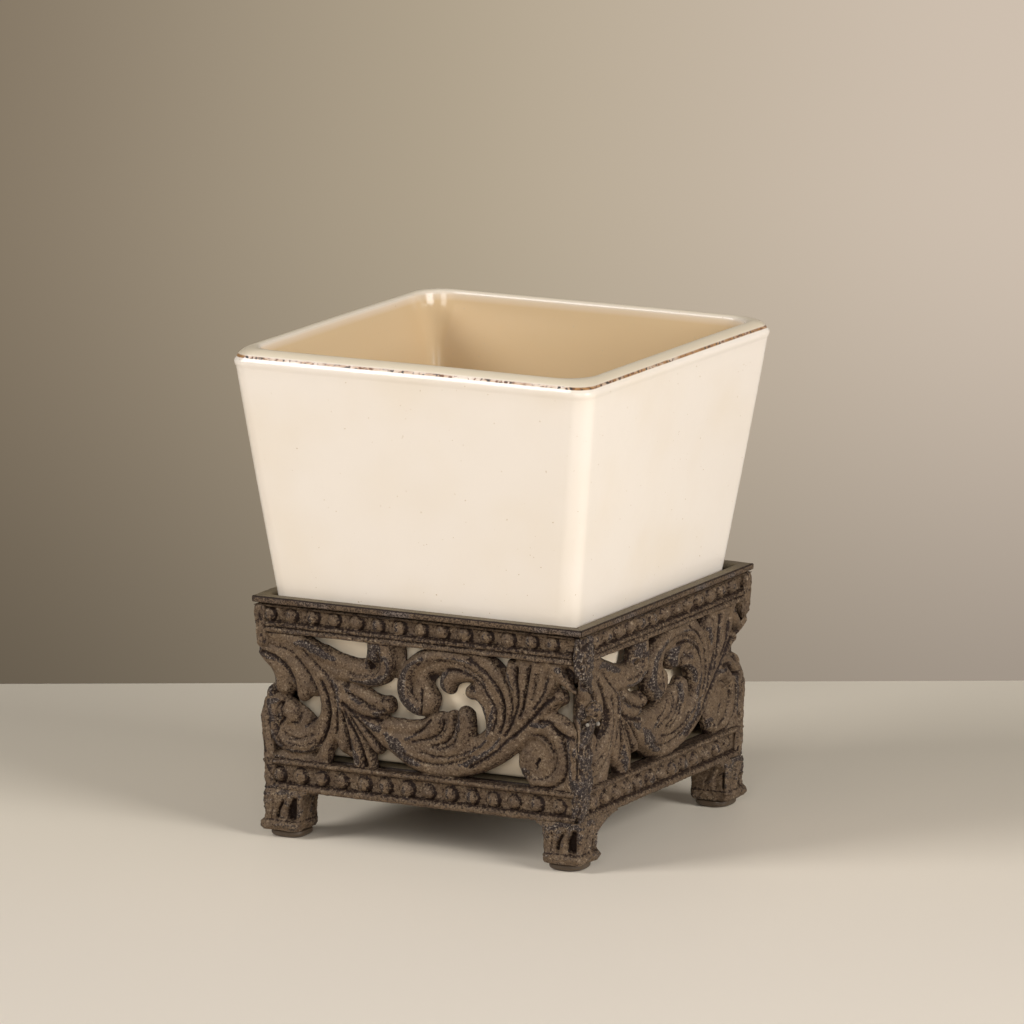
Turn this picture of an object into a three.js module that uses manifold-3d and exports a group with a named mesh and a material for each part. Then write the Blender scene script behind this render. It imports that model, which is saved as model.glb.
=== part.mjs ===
// A square glazed ceramic cup for pens and pencils. It stands loose in a cast metal stand, which is
// welded up from four openwork panels, a top frame of flat bar, a ledge of flat bar and four feet.
// Millimetres, +Z up. The origin is on the table under the middle, and the front panel faces -Y.

import * as THREE from 'three';
import { mergeVertices } from 'three/addons/utils/BufferGeometryUtils.js';
import Module from 'manifold-3d';

const wasm = await Module();
wasm.setup();

// Clearance between two pieces that touch
const seatGap = 0.3;

// Finest detail kept where pieces are joined or cut
const sliverSize = 0.05;

// Ceramic cup
const cupHeight = 111.1;
const cupRimHalf = 54.4;
const cupFootHalf = 38.8;
const cupBow = 0.5;
const cupWall = 4.0;
const cupFloor = 5.0;
const cupOuterCorner = 5.0;
const cupInnerCorner = 8.0;
const cupInnerFillet = 4.0;
const cupRimRound = 1.3;
const cupFootRound = 1.5;
const cupFootRing = 5.0;
const cupFootRecess = 1.2;

// Stand, from the table upwards
const padHeight = 1.9;
const footHeight = 10.3;
const bottomRailHeight = 8.8;
const openworkHeight = 34.4;
const topRailHeight = 7.8;
const topBarThick = 1.8;

// Stand, in plan
const panelClearance = 0.6;
const panelDepth = 4.6;
const panelLean = 1.9;
const topBarClearance = 1.5;
const topBarOverhang = 1.2;
const topBarCorner = 3.0;
const topBarBevel = 0.45;
const ledgeThick = 2.4;
const ledgeLap = 5.0;

// Rails of a panel: a moulding below and above a sunk channel with a row of beads
const bottomRailFoot = 2.0;
const bottomRailCap = 1.5;
const topRailFoot = 3.0;
const topRailCap = 0.7;
const mouldingRound = 0.4;
const channelDepth = 1.7;
const beadRadius = 2.0;
const beadStandout = 1.9;
const beadPitch = 6.55;
const beadEndMargin = 4.6;

// Relief of the acanthus scroll
const crestDepth = 0.3;
const crestShare = 0.42;
const baseShare = 0.62;
const railBite = 0.6;
const ridgeStep = 14;
const ridgeTurn = 0.85;

// Feet and pads
const footKneeHalf = 6.0;
const footAnkleHalf = 5.6;
const footToeHalf = 6.1;
const footCorner = 1.4;
const footProud = 0.5;
const fluteRadius = 1.25;
const fluteCut = 0.8;
const fluteSpread = 2.2;
const padInset = 1.0;
const padCorner = 3.2;
const padRound = 0.7;

// Weld deposits at the corners: the shares are how far they run over the openwork's height
const weldRadius = 1.9;
const weldRipple = 0.3;
const weldPitch = 3.6;
const weldSink = 1.4;
const weldSides = 6;
const lowerWeldShare = 0.48;
const upperWeldShare = 0.15;

// Heights above the table that follow from the sizes
const footBase = padHeight + seatGap;
const railBase = footBase + footHeight + seatGap;
const openworkBase = railBase + bottomRailHeight;
const openworkTop = openworkBase + openworkHeight;
const railTop = openworkTop + topRailHeight;
const topBarBase = railTop + seatGap;
const topBarTop = topBarBase + topBarThick;
const ledgeBase = openworkBase - ledgeThick;
const cupBase = openworkBase + seatGap;
const lowerWeldTop = openworkBase + lowerWeldShare * openworkHeight;
const upperWeldBase = openworkTop - upperWeldShare * openworkHeight;

// Half width of the cup outside, at a height above its foot: a straight taper less a shallow bow
function cupHalfAt(height) {
  const along = height / cupHeight;
  const straight = cupFootHalf + (cupRimHalf - cupFootHalf) * along;
  return straight - 4 * cupBow * along * (1 - along);
}

// Half widths of the stand: the back of a panel stands clear of the cup and leans in downwards
function panelBackAt(z) {
  const top = cupHalfAt(railTop - cupBase) + panelClearance;
  return top - panelLean * (railTop - z) / (railTop - railBase);
}

function panelFaceAt(z) {
  return panelBackAt(z) + panelDepth;
}

const topBarHalf = panelFaceAt(railTop) + topBarOverhang;
const topBarInnerHalf = cupHalfAt(topBarTop - cupBase) + topBarClearance;
const ledgeHalf = panelBackAt(ledgeBase) - seatGap;
const ledgeInnerHalf = cupFootHalf - ledgeLap;
const footCentre = panelFaceAt(railBase) + footProud - footKneeHalf;

// Materials
const glaze = new THREE.MeshStandardMaterial({ color: 0xe9dcc6, roughness: 0.25, metalness: 0.0 });
const castMetal = new THREE.MeshStandardMaterial({ color: 0x6a5d4d, roughness: 0.7, metalness: 0.4 });
const barMetal = new THREE.MeshStandardMaterial({ color: 0x776c57, roughness: 0.6, metalness: 0.4 });
const weldMetal = new THREE.MeshStandardMaterial({ color: 0x4b4242, roughness: 0.8, metalness: 0.4 });
const padRubber = new THREE.MeshStandardMaterial({ color: 0x4a3b2c, roughness: 0.6, metalness: 0.0 });

// Joining and cutting

function toSolid(geometry) {
  const bare = geometry.clone();
  bare.deleteAttribute('normal');
  bare.deleteAttribute('uv');
  const merged = mergeVertices(bare, 1e-4);
  const vertProperties = new Float32Array(merged.attributes.position.array);
  const triVerts = new Uint32Array(merged.index.array);
  return new wasm.Manifold(new wasm.Mesh({ numProp: 3, vertProperties, triVerts }));
}

// Slivers that a join leaves are merged into their neighbours
function toGeometry(solid) {
  const mesh = solid.asOriginal().simplify(sliverSize).getMesh();
  const geometry = new THREE.BufferGeometry();
  geometry.setAttribute('position', new THREE.BufferAttribute(mesh.vertProperties, 3));
  geometry.setIndex(new THREE.BufferAttribute(mesh.triVerts, 1));
  return geometry;
}

// A skin over closed rings that all have the same number of points, capped at both ends
function loft(rings) {
  const count = rings[0].length;
  const positions = rings.flat(2);
  const index = [];
  for (let ring = 0; ring + 1 < rings.length; ring += 1) {
    for (let point = 0; point < count; point += 1) {
      const next = (point + 1) % count;
      const a = ring * count + point;
      const b = ring * count + next;
      index.push(a, b, b + count, a, b + count, a + count);
    }
  }
  const last = (rings.length - 1) * count;
  for (let point = 1; point + 1 < count; point += 1) {
    index.push(0, point + 1, point);
    index.push(last, last + point, last + point + 1);
  }
  const geometry = new THREE.BufferGeometry();
  geometry.setAttribute('position', new THREE.Float32BufferAttribute(positions, 3));
  geometry.setIndex(index);
  return geometry;
}

// A square with round corners, as a ring of points at one height
function squareRing(half, corner, z, centreX = 0, centreY = 0, steps = 3) {
  const ring = [];
  for (let quarter = 0; quarter < 4; quarter += 1) {
    for (let step = 0; step <= steps; step += 1) {
      const angle = (quarter + step / steps) * Math.PI / 2;
      const middle = (quarter + 0.5) * Math.PI / 2;
      const x = (half - corner) * Math.sign(Math.cos(middle)) + corner * Math.cos(angle);
      const y = (half - corner) * Math.sign(Math.sin(middle)) + corner * Math.sin(angle);
      ring.push([centreX + x, centreY + y, z]);
    }
  }
  return ring;
}

function squareShape(half, corner) {
  const points = squareRing(half, corner, 0).map(([x, y]) => new THREE.Vector2(x, y));
  return new THREE.Shape(points);
}

// The front quarter of the plan between the two diagonals, less half a gap at each, as a tall prism
function frontQuarter() {
  const reach = 2 * topBarHalf;
  const apex = -seatGap / Math.SQRT2;
  const outline = new THREE.Shape();
  outline.moveTo(0, apex);
  outline.lineTo(-reach, apex - reach);
  outline.lineTo(reach, apex - reach);
  return toSolid(new THREE.ExtrudeGeometry(outline, { depth: topBarTop + 1, bevelEnabled: false }));
}

// Ceramic cup: one skin from the recess under the foot, up the outside and down the inside

function cupGeometry() {
  const floorHalf = cupHalfAt(cupFloor) - cupWall;
  const turn = 1 - Math.SQRT1_2;
  const levels = 3;
  const profile = [
    [cupFootHalf - cupFootRound - cupFootRing - cupFootRecess, cupFootRecess],
    [cupFootHalf - cupFootRound - cupFootRing, 0],
    [cupFootHalf - cupFootRound, 0],
    [cupFootHalf - cupFootRound * turn, cupFootRound * turn],
  ];
  for (let level = 0; level <= levels; level += 1) {
    const height = cupFootRound + (cupHeight - cupRimRound - cupFootRound) * level / levels;
    profile.push([cupHalfAt(height), height]);
  }
  profile.push([cupRimHalf - cupRimRound * turn, cupHeight - cupRimRound * turn]);
  profile.push([cupRimHalf - cupRimRound, cupHeight]);
  profile.push([cupRimHalf - cupWall + cupRimRound, cupHeight]);
  const outsideCount = profile.length;
  const insideFoot = cupFloor + cupInnerFillet;
  for (let level = levels; level >= 0; level -= 1) {
    const height = insideFoot + (cupHeight - cupRimRound - insideFoot) * level / levels;
    profile.push([cupHalfAt(height) - cupWall, height]);
  }
  profile.push([floorHalf - cupInnerFillet * turn, cupFloor + cupInnerFillet * turn]);
  profile.push([floorHalf - cupInnerFillet, cupFloor]);
  const rings = profile.map(([half, height], place) => {
    const corner = place < outsideCount ? cupOuterCorner : cupInnerCorner;
    return squareRing(half, corner, cupBase + height);
  });
  return loft(rings);
}

// Flat bar frames, cut at the diagonals into four mitred bars

function barGeometry(half, corner, innerHalf, thick, z, bevel) {
  const outline = squareShape(half - bevel, Math.max(corner - bevel, 0.1));
  outline.holes.push(squareShape(innerHalf + bevel, 0.6));
  const frame = new THREE.ExtrudeGeometry(outline, {
    depth: thick - 2 * bevel,
    bevelEnabled: bevel > 0,
    bevelThickness: bevel,
    bevelSize: bevel,
    bevelSegments: 1,
  });
  frame.translate(0, 0, z + bevel);
  return toGeometry(toSolid(frame).intersect(frontQuarter()));
}

// Weld deposits: rippled runs along the leaning corner between two panel faces

function weldRings(from, to, radiusAt) {
  const rings = [];
  const steps = Math.max(1, Math.round((to - from) / weldPitch));
  for (let step = 0; step <= steps; step += 1) {
    const z = from + (to - from) * step / steps;
    const centre = panelFaceAt(z) - weldSink;
    const radius = radiusAt(step, steps);
    const ring = [];
    for (let side = 0; side < weldSides; side += 1) {
      const angle = (side + 0.5) * 2 * Math.PI / weldSides;
      ring.push([centre + radius * Math.cos(angle), radius * Math.sin(angle) - centre, z]);
    }
    rings.push(ring);
  }
  return rings;
}

function weldGeometry(from, to) {
  return loft(weldRings(from, to, (step, steps) => {
    const end = step === 0 || step === steps;
    return end ? weldRadius - 2 * weldRipple : weldRadius + (step % 2 ? weldRipple : -weldRipple) / 2;
  }));
}

// The room for a weld deposit in a panel's right-hand corner
function weldRoom(from, to) {
  const radius = (weldRadius + weldRipple / 2 + seatGap) / Math.cos(Math.PI / weldSides);
  return toSolid(loft(weldRings(from, to, () => radius)));
}

// Panels. A panel is drawn flat: X runs along it, Y is the depth behind its face, Z is the height.

// A rail from a height upwards: its foot and cap are the mouldings, and the beads lie in the channel
// between them.
function railSolid(from, height, foot, cap) {
  const half = topBarHalf;
  const shoulder = Math.min(mouldingRound, cap / 2);
  const outline = new THREE.Shape();
  outline.moveTo(panelDepth, 0);
  outline.lineTo(panelDepth, height);
  outline.lineTo(shoulder, height);
  outline.lineTo(0, height - shoulder);
  outline.lineTo(0, height - cap);
  outline.lineTo(channelDepth, height - cap - mouldingRound);
  outline.lineTo(channelDepth, foot + mouldingRound);
  outline.lineTo(0, foot);
  outline.lineTo(0, mouldingRound);
  outline.lineTo(mouldingRound, 0);
  const bar = new THREE.ExtrudeGeometry(outline, { depth: 2 * half, bevelEnabled: false });
  bar.translate(0, 0, -half);
  bar.applyMatrix4(new THREE.Matrix4().set(
    0, 0, 1, 0,
    1, 0, 0, 0,
    0, 1, 0, from,
    0, 0, 0, 1,
  ));
  let rail = toSolid(bar);
  const run = 2 * (panelFaceAt(from) - beadEndMargin);
  const count = Math.floor(run / beadPitch) + 1;
  for (let bead = 0; bead < count; bead += 1) {
    const ball = new THREE.SphereGeometry(beadRadius, 6, 4);
    const along = (bead - (count - 1) / 2) * beadPitch;
    ball.translate(along, channelDepth - beadStandout + beadRadius, from + (foot + height - cap) / 2);
    rail = rail.add(toSolid(ball));
  }
  return rail;
}

// The scroll was drawn on a face this wide and between these heights, and is stretched to the panel
const drawnHalf = 48.3;
const drawnBase = 21.6;
const drawnTop = 56.0;

// Ridges of the scroll. Each is a line of points: across from the middle, height, and ridge width.
const ridges = {
  leftEdgeStrip: [[-46.2, 21.0, 3.0], [-46.2, 30.0, 3.0], [-45.6, 36.6, 2.4]],
  outerHangingLobe: [
    [-49.5, 50.6, 2.8], [-46.0, 49.2, 4.4], [-43.7, 46.2, 4.2], [-43.6, 43.6, 4.4], [-44.4, 41.6, 2.2],
  ],
  innerHangingLobe: [
    [-49.5, 52.0, 1.8], [-44.6, 51.6, 2.4], [-40.8, 50.0, 3.8], [-37.9, 47.2, 4.6], [-36.2, 44.2, 4.4],
    [-35.8, 41.2, 3.8], [-36.2, 38.8, 2.0],
  ],
  leftScroll: [
    [-47.0, 53.4, 2.2], [-42.0, 52.6, 2.6], [-37.5, 51.0, 2.8], [-33.5, 48.0, 3.0], [-30.4, 44.2, 3.2],
    [-28.9, 40.2, 3.0], [-28.7, 36.5, 2.8], [-30.4, 32.6, 3.0], [-33.8, 30.2, 3.0], [-37.6, 29.6, 2.8],
    [-41.0, 31.0, 2.4], [-42.2, 33.6, 2.0],
  ],
  leftScrollRim: [
    [-27.9, 35.6, 1.8], [-29.2, 31.0, 2.6], [-32.4, 27.4, 3.4], [-37.0, 25.8, 3.6], [-41.4, 27.2, 3.6],
    [-44.4, 30.8, 3.4], [-45.0, 35.0, 3.2], [-42.8, 38.0, 3.0], [-39.8, 37.6, 2.4],
  ],
  fanOne: [
    [-29.4, 47.4, 2.0], [-26.9, 43.0, 2.4], [-26.0, 38.6, 2.6], [-26.4, 34.0, 3.0], [-27.6, 29.6, 3.2],
    [-28.4, 27.2, 1.6],
  ],
  fanTwo: [[-25.3, 41.0, 1.8], [-24.3, 34.0, 2.2], [-23.7, 29.4, 3.2], [-23.6, 26.2, 2.0]],
  fanThree: [[-22.9, 38.5, 1.4], [-21.4, 33.4, 1.9], [-19.8, 28.6, 2.6], [-18.2, 21.4, 2.6]],
  fanFour: [[-22.2, 38.0, 1.4], [-19.6, 33.2, 2.1], [-17.6, 28.8, 2.2], [-16.0, 22.4, 1.8]],
  fanFive: [[-21.5, 38.0, 1.4], [-17.8, 32.6, 2.4], [-14.8, 28.8, 2.6], [-13.6, 26.6, 1.6]],
  fanSix: [[-20.6, 37.6, 1.6], [-16.2, 34.4, 2.8], [-12.0, 31.4, 3.2], [-8.0, 28.8, 3.2]],
  lobe: [
    [-24.6, 42.4, 4.0], [-20.0, 41.2, 5.6], [-16.0, 39.9, 5.2], [-12.4, 39.1, 3.8], [-9.8, 39.6, 2.8],
  ],
  upperLeafTop: [
    [-49.0, 56.2, 3.4], [-41.0, 55.6, 3.6], [-35.0, 54.4, 3.2], [-29.5, 52.3, 3.2], [-24.5, 50.5, 3.0],
    [-19.5, 49.5, 3.0], [-15.6, 50.4, 2.4], [-14.8, 53.0, 2.2], [-14.0, 57.8, 2.8],
  ],
  upperLeafHook: [
    [-36.0, 52.6, 2.4], [-31.0, 49.9, 2.8], [-26.0, 47.7, 3.0], [-20.0, 47.0, 3.0], [-14.2, 46.6, 3.2],
    [-10.8, 48.2, 3.4], [-10.2, 51.4, 3.6], [-11.4, 54.6, 3.6], [-12.6, 58.0, 3.4],
  ],
  bigScroll: [
    [24.6, 36.0, 2.6], [25.0, 42.0, 2.6], [24.0, 47.0, 2.8], [21.4, 50.8, 2.8], [17.4, 53.6, 3.0],
    [12.0, 55.2, 3.0], [6.5, 55.3, 3.0], [1.6, 53.8, 3.0], [-2.0, 50.8, 3.0], [-4.3, 47.2, 3.2],
    [-4.4, 43.4, 3.4], [-2.0, 40.8, 3.4], [0.8, 41.0, 3.2], [1.4, 43.6, 2.4],
  ],
  bigScrollInner: [
    [22.6, 35.0, 2.4], [23.0, 40.0, 2.4], [22.3, 44.6, 2.6], [19.8, 49.0, 2.8], [15.6, 51.9, 2.8],
    [10.6, 53.0, 2.8], [5.6, 52.4, 3.2], [1.6, 50.4, 3.4], [-0.9, 47.4, 3.4], [-1.2, 44.0, 2.6],
  ],
  hookDown: [
    [17.4, 50.6, 2.0], [13.4, 51.0, 2.8], [10.2, 49.9, 3.6], [8.5, 47.8, 3.6], [8.7, 45.6, 2.0],
  ],
  hookLeft: [
    [21.0, 34.0, 2.2], [21.4, 40.0, 3.0], [20.0, 44.4, 3.4], [17.4, 46.6, 3.6], [14.8, 46.0, 2.0],
  ],
  outerBand: [
    [16.5, 57.4, 1.8], [21.4, 54.6, 2.3], [25.2, 51.0, 2.5], [27.2, 46.8, 2.5], [27.5, 42.6, 2.4],
    [26.7, 38.6, 2.3], [24.6, 34.8, 2.2],
  ],
  fluteOne: [
    [28.9, 55.4, 2.0], [28.7, 51.6, 2.8], [29.5, 46.8, 2.4], [29.3, 42.6, 2.2], [27.8, 38.4, 2.0],
    [25.0, 34.2, 1.8],
  ],
  fluteTwo: [
    [32.0, 58.0, 3.2], [31.7, 52.0, 2.6], [31.3, 46.8, 2.4], [30.4, 42.6, 2.2], [27.6, 37.0, 1.8],
  ],
  fluteThree: [
    [36.0, 58.0, 2.8], [34.8, 52.0, 2.6], [33.7, 47.2, 2.3], [31.9, 42.4, 2.0], [28.8, 37.8, 1.7],
  ],
  fluteFour: [
    [39.0, 58.0, 2.8], [37.4, 52.0, 2.7], [35.9, 47.8, 2.4], [33.6, 43.2, 2.0], [30.0, 38.6, 1.7],
  ],
  fluteFive: [
    [41.8, 56.0, 2.4], [40.4, 51.2, 2.8], [38.2, 47.6, 2.4], [35.4, 43.8, 2.0], [31.4, 39.2, 1.8],
  ],
  stem: [
    [42.6, 48.2, 2.4], [40.0, 45.9, 2.3], [37.0, 43.2, 2.4], [32.6, 38.8, 2.6], [27.6, 34.4, 2.8],
    [22.4, 30.6, 3.0], [17.0, 27.4, 3.0],
  ],
  lowerStem: [
    [33.6, 36.2, 2.4], [29.6, 33.2, 2.8], [24.6, 29.8, 3.0], [18.6, 26.4, 3.0], [12.0, 23.9, 3.0],
    [5.0, 22.8, 3.0], [-1.0, 23.8, 2.8], [-6.0, 26.6, 2.4],
  ],
  voluteArm: [
    [30.6, 36.4, 2.4], [34.0, 38.6, 3.0], [38.0, 38.6, 3.0], [41.2, 36.0, 3.0], [42.6, 31.6, 3.0],
    [41.4, 27.0, 3.0], [37.6, 24.4, 2.8], [33.4, 25.0, 2.4], [31.2, 28.2, 2.2], [32.4, 31.4, 2.0],
    [36.0, 32.4, 1.6],
  ],
  cornerSpur: [[36.6, 40.6, 2.0], [40.6, 41.0, 2.8], [44.4, 39.4, 2.8], [47.8, 37.4, 2.4]],
  leftSill: [[-45.0, 22.4, 3.6], [-37.0, 22.8, 3.2], [-30.0, 22.2, 2.0]],
  rightSill: [[33.0, 22.2, 2.0], [39.0, 22.4, 3.0], [45.0, 22.8, 3.6]],
  rightEdgeStrip: [[45.2, 21.0, 3.2], [45.4, 30.0, 3.2], [45.4, 37.2, 2.4]],
  cornerLeaf: [[42.0, 58.0, 2.8], [42.4, 54.0, 2.8], [44.6, 51.2, 2.6], [47.6, 49.4, 1.8]],
  lowerLeafTop: [
    [-11.6, 34.8, 2.6], [-6.4, 33.6, 3.6], [-2.0, 33.9, 3.0], [1.4, 36.0, 2.4], [4.0, 38.6, 1.0],
  ],
  lowerLeafOne: [
    [-7.0, 31.0, 2.2], [-1.0, 31.8, 2.6], [2.8, 34.0, 3.0], [4.8, 36.6, 2.6], [5.4, 38.8, 1.2],
  ],
  lowerLeafTwo: [
    [3.0, 28.6, 2.2], [9.4, 29.6, 2.8], [12.8, 32.6, 4.0], [13.6, 37.0, 4.4], [13.0, 40.8, 2.2],
  ],
  lowerBand: [
    [-9.0, 30.8, 3.0], [-4.6, 28.2, 3.6], [1.0, 26.6, 3.2], [7.0, 26.4, 3.0], [12.6, 27.8, 3.0],
    [17.4, 30.4, 3.0], [21.4, 34.0, 3.0],
  ],
};

// Round ends and eyes of the scroll: across, height and radius
const bosses = {
  leftEye: [-40.0, 35.0, 3.2],
  lobeBall: [-9.4, 39.7, 1.9],
  stemRoll: [42.5, 47.9, 1.9],
  voluteEye: [36.6, 28.6, 4.6],
};

const drawnAcross = panelFaceAt((openworkBase + openworkTop) / 2) / drawnHalf;
const drawnUpwards = openworkHeight / (drawnTop - drawnBase);
const drawnWidth = Math.min(drawnAcross, drawnUpwards);

function onPanel(across, height) {
  return [across * drawnAcross, openworkBase + (height - drawnBase) * drawnUpwards];
}

// A ridge with a four-sided section: drafted walls on each side of a flat crest
function ridgeSolid(points) {
  const line = points.map(([across, height, width]) => {
    const [x, z] = onPanel(across, height);
    return new THREE.Vector3(x, z, width * drawnWidth);
  });
  const curve = new THREE.CatmullRomCurve3(line, false, 'centripetal');
  let turning = 0;
  for (let place = 1; place + 1 < line.length; place += 1) {
    const before = line[place].clone().sub(line[place - 1]);
    const after = line[place + 1].clone().sub(line[place]);
    turning += before.angleTo(after);
  }
  const steps = Math.max(3, Math.round(curve.getLength() / ridgeStep + turning / ridgeTurn));
  const rings = [];
  for (let step = 0; step <= steps; step += 1) {
    const { x, y: z, z: width } = curve.getPointAt(step / steps);
    const tangent = curve.getTangentAt(step / steps);
    const length = Math.hypot(tangent.x, tangent.y);
    const sideX = -tangent.y / length;
    const sideZ = tangent.x / length;
    const section = [
      [baseShare, panelDepth],
      [crestShare, crestDepth],
      [-crestShare, crestDepth],
      [-baseShare, panelDepth],
    ];
    rings.push(section.map(([share, depth]) => {
      return [x + sideX * share * width, depth, z + sideZ * share * width];
    }));
  }
  return toSolid(loft(rings));
}

// A boss is a ball that is flattened towards the face
function bossSolid([across, height, radius]) {
  const [x, z] = onPanel(across, height);
  const ball = new THREE.SphereGeometry(radius * drawnWidth, 8, 4);
  ball.scale(1, (panelDepth - crestDepth) / (radius * drawnWidth), 1);
  ball.translate(x, panelDepth, z);
  return toSolid(ball);
}

function scrollSolid() {
  let scroll = null;
  for (const points of Object.values(ridges)) {
    const ridge = ridgeSolid(points);
    scroll = scroll ? scroll.add(ridge) : ridge;
  }
  for (const boss of Object.values(bosses)) {
    scroll = scroll.add(bossSolid(boss));
  }
  return scroll;
}

// The slab between two heights and in front of the back, which trims the scroll
function panelBlank(from, to) {
  const slab = new THREE.BoxGeometry(4 * topBarHalf, 2 * panelDepth, to - from);
  slab.translate(0, 0, (from + to) / 2);
  return toSolid(slab);
}

function panelGeometry() {
  const scroll = scrollSolid().intersect(panelBlank(openworkBase - railBite, openworkTop + railBite));
  const bottomRail = railSolid(railBase, bottomRailHeight, bottomRailFoot, bottomRailCap);
  const topRail = railSolid(openworkTop, topRailHeight, topRailFoot, topRailCap);
  let panel = scroll.add(bottomRail).add(topRail);
  const leanPerHeight = (panelFaceAt(railTop) - panelFaceAt(railBase)) / (railTop - railBase);
  const leaning = toGeometry(panel);
  leaning.applyMatrix4(new THREE.Matrix4().set(
    1, 0, 0, 0,
    0, 1, -leanPerHeight, railBase * leanPerHeight - panelFaceAt(railBase),
    0, 0, 1, 0,
    0, 0, 0, 1,
  ));
  panel = toSolid(leaning).intersect(frontQuarter());
  const rooms = [
    weldRoom(railBase - seatGap, lowerWeldTop + seatGap),
    weldRoom(upperWeldBase - seatGap, railTop + seatGap),
  ];
  for (const room of rooms) {
    const mirrored = room.mirror([1, 0, 0]);
    panel = panel.subtract(room).subtract(mirrored);
  }
  return toGeometry(panel);
}

// Feet: a loft through the toe, ankle and knee, with two flutes cut in each outward face

function footGeometry() {
  const sections = [
    [0.0, footToeHalf - 0.5],
    [0.14, footToeHalf],
    [0.26, footToeHalf - 0.3],
    [0.34, footAnkleHalf],
    [0.5, (footAnkleHalf + footKneeHalf) / 2],
    [0.78, footKneeHalf],
    [1.0, footKneeHalf - 0.5],
  ];
  const rings = sections.map(([share, half]) => {
    return squareRing(half, footCorner, footBase + share * footHeight, footCentre, -footCentre, 2);
  });
  let foot = toSolid(loft(rings));
  const fluteLength = 0.56 * footHeight;
  const fluteMiddle = footBase + 0.62 * footHeight;
  for (const side of [-1, 1]) {
    const flute = new THREE.CylinderGeometry(fluteRadius, fluteRadius, fluteLength, 6);
    flute.rotateX(Math.PI / 2);
    const depth = footCentre + footKneeHalf - fluteCut + fluteRadius;
    const front = flute.clone().translate(footCentre + side * fluteSpread, -depth, fluteMiddle);
    const right = flute.clone().translate(depth, side * fluteSpread - footCentre, fluteMiddle);
    foot = foot.subtract(toSolid(front)).subtract(toSolid(right));
  }
  return toGeometry(foot);
}

// Pads: low rounded blocks just inside the toe of each foot

function padGeometry() {
  const half = footToeHalf - padInset;
  const sections = [
    [0, half - padRound],
    [padRound * 0.3, half - padRound * 0.3],
    [padRound, half],
    [padHeight, half],
  ];
  return loft(sections.map(([z, size]) => squareRing(size, padCorner, z, footCentre, -footCentre, 2)));
}

// The assembly

const penHolder = new THREE.Group();

function place(name, geometry, material, turns = 0) {
  const mesh = new THREE.Mesh(geometry, material);
  mesh.name = name;
  mesh.rotation.z = turns * Math.PI / 2;
  penHolder.add(mesh);
}

const panel = panelGeometry();
const topBar = barGeometry(topBarHalf, topBarCorner, topBarInnerHalf, topBarThick, topBarBase, topBarBevel);
const ledgeBar = barGeometry(ledgeHalf, 0.3, ledgeInnerHalf, ledgeThick, ledgeBase, 0);
const foot = footGeometry();
const pad = padGeometry();
const lowerWeld = weldGeometry(railBase, lowerWeldTop);
const upperWeld = weldGeometry(upperWeldBase, railTop);

place('ceramic_cup', cupGeometry(), glaze);

['front', 'right', 'back', 'left'].forEach((side, turns) => {
  place(`panel_${side}`, panel, castMetal, turns);
  place(`top_bar_${side}`, topBar, barMetal, turns);
  place(`ledge_bar_${side}`, ledgeBar, barMetal, turns);
});

['front_right', 'back_right', 'back_left', 'front_left'].forEach((corner, turns) => {
  place(`foot_${corner}`, foot, castMetal, turns);
  place(`pad_${corner}`, pad, padRubber, turns);
  place(`lower_weld_${corner}`, lowerWeld, weldMetal, turns);
  place(`upper_weld_${corner}`, upperWeld, weldMetal, turns);
});

export default penHolder;
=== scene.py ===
"""Looks of a pen holder: a square glazed stoneware cup in a low cast metal stand with openwork sides.

Sizes in the formulas are millimetres, with +Z up and the front panel facing -Y. Meshes are made in metres.
"""

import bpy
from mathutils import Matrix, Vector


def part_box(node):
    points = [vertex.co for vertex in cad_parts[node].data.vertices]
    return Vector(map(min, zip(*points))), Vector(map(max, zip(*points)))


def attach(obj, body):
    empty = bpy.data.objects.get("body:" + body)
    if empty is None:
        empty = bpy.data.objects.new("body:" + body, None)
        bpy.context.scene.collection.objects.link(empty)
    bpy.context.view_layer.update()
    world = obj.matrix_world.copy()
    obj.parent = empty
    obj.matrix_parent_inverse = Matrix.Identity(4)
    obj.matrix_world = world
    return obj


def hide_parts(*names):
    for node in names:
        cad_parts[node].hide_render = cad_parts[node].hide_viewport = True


bl_info = {
    "name": "Pen Holder",
    "version": (1, 0, 0),
    "blender": (4, 5, 0),
    "location": "3D View > Sidebar > Pen Holder",
    "description": "Builds a glazed stoneware pen cup in a cast openwork stand",
    "category": "Add Mesh",
}

import math

import bpy
import numpy as np
from bpy.props import FloatProperty, FloatVectorProperty, PointerProperty
from mathutils import Matrix, Vector

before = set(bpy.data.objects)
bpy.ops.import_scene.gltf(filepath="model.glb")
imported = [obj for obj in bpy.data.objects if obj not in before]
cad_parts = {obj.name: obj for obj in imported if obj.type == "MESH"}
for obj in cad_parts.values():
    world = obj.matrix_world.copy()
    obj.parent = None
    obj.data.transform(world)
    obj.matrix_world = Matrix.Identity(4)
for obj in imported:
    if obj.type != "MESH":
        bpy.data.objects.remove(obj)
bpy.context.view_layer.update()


MM = 0.001
# How far a mitred end stays back from its corner's diagonal, in millimetres
MITRE_GAP = 0.2
SIDES = ("front", "right", "back", "left")
CORNERS = ("front_right", "back_right", "back_left", "front_left")


def node_box(node):
    """Lowest and highest corner of a CAD node, in millimetres."""
    low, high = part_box(node)
    return np.array(low) / MM, np.array(high) / MM


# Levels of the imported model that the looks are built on
CUP_LOW, CUP_HIGH = node_box("ceramic_cup")
PANEL_LOW, PANEL_HIGH = node_box("panel_front")
TOP_BAR_LOW, TOP_BAR_HIGH = node_box("top_bar_front")
LEDGE_LOW, LEDGE_HIGH = node_box("ledge_bar_front")
FOOT_LOW, FOOT_HIGH = node_box("foot_front_right")
PAD_LOW, PAD_HIGH = node_box("pad_front_right")


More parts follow.
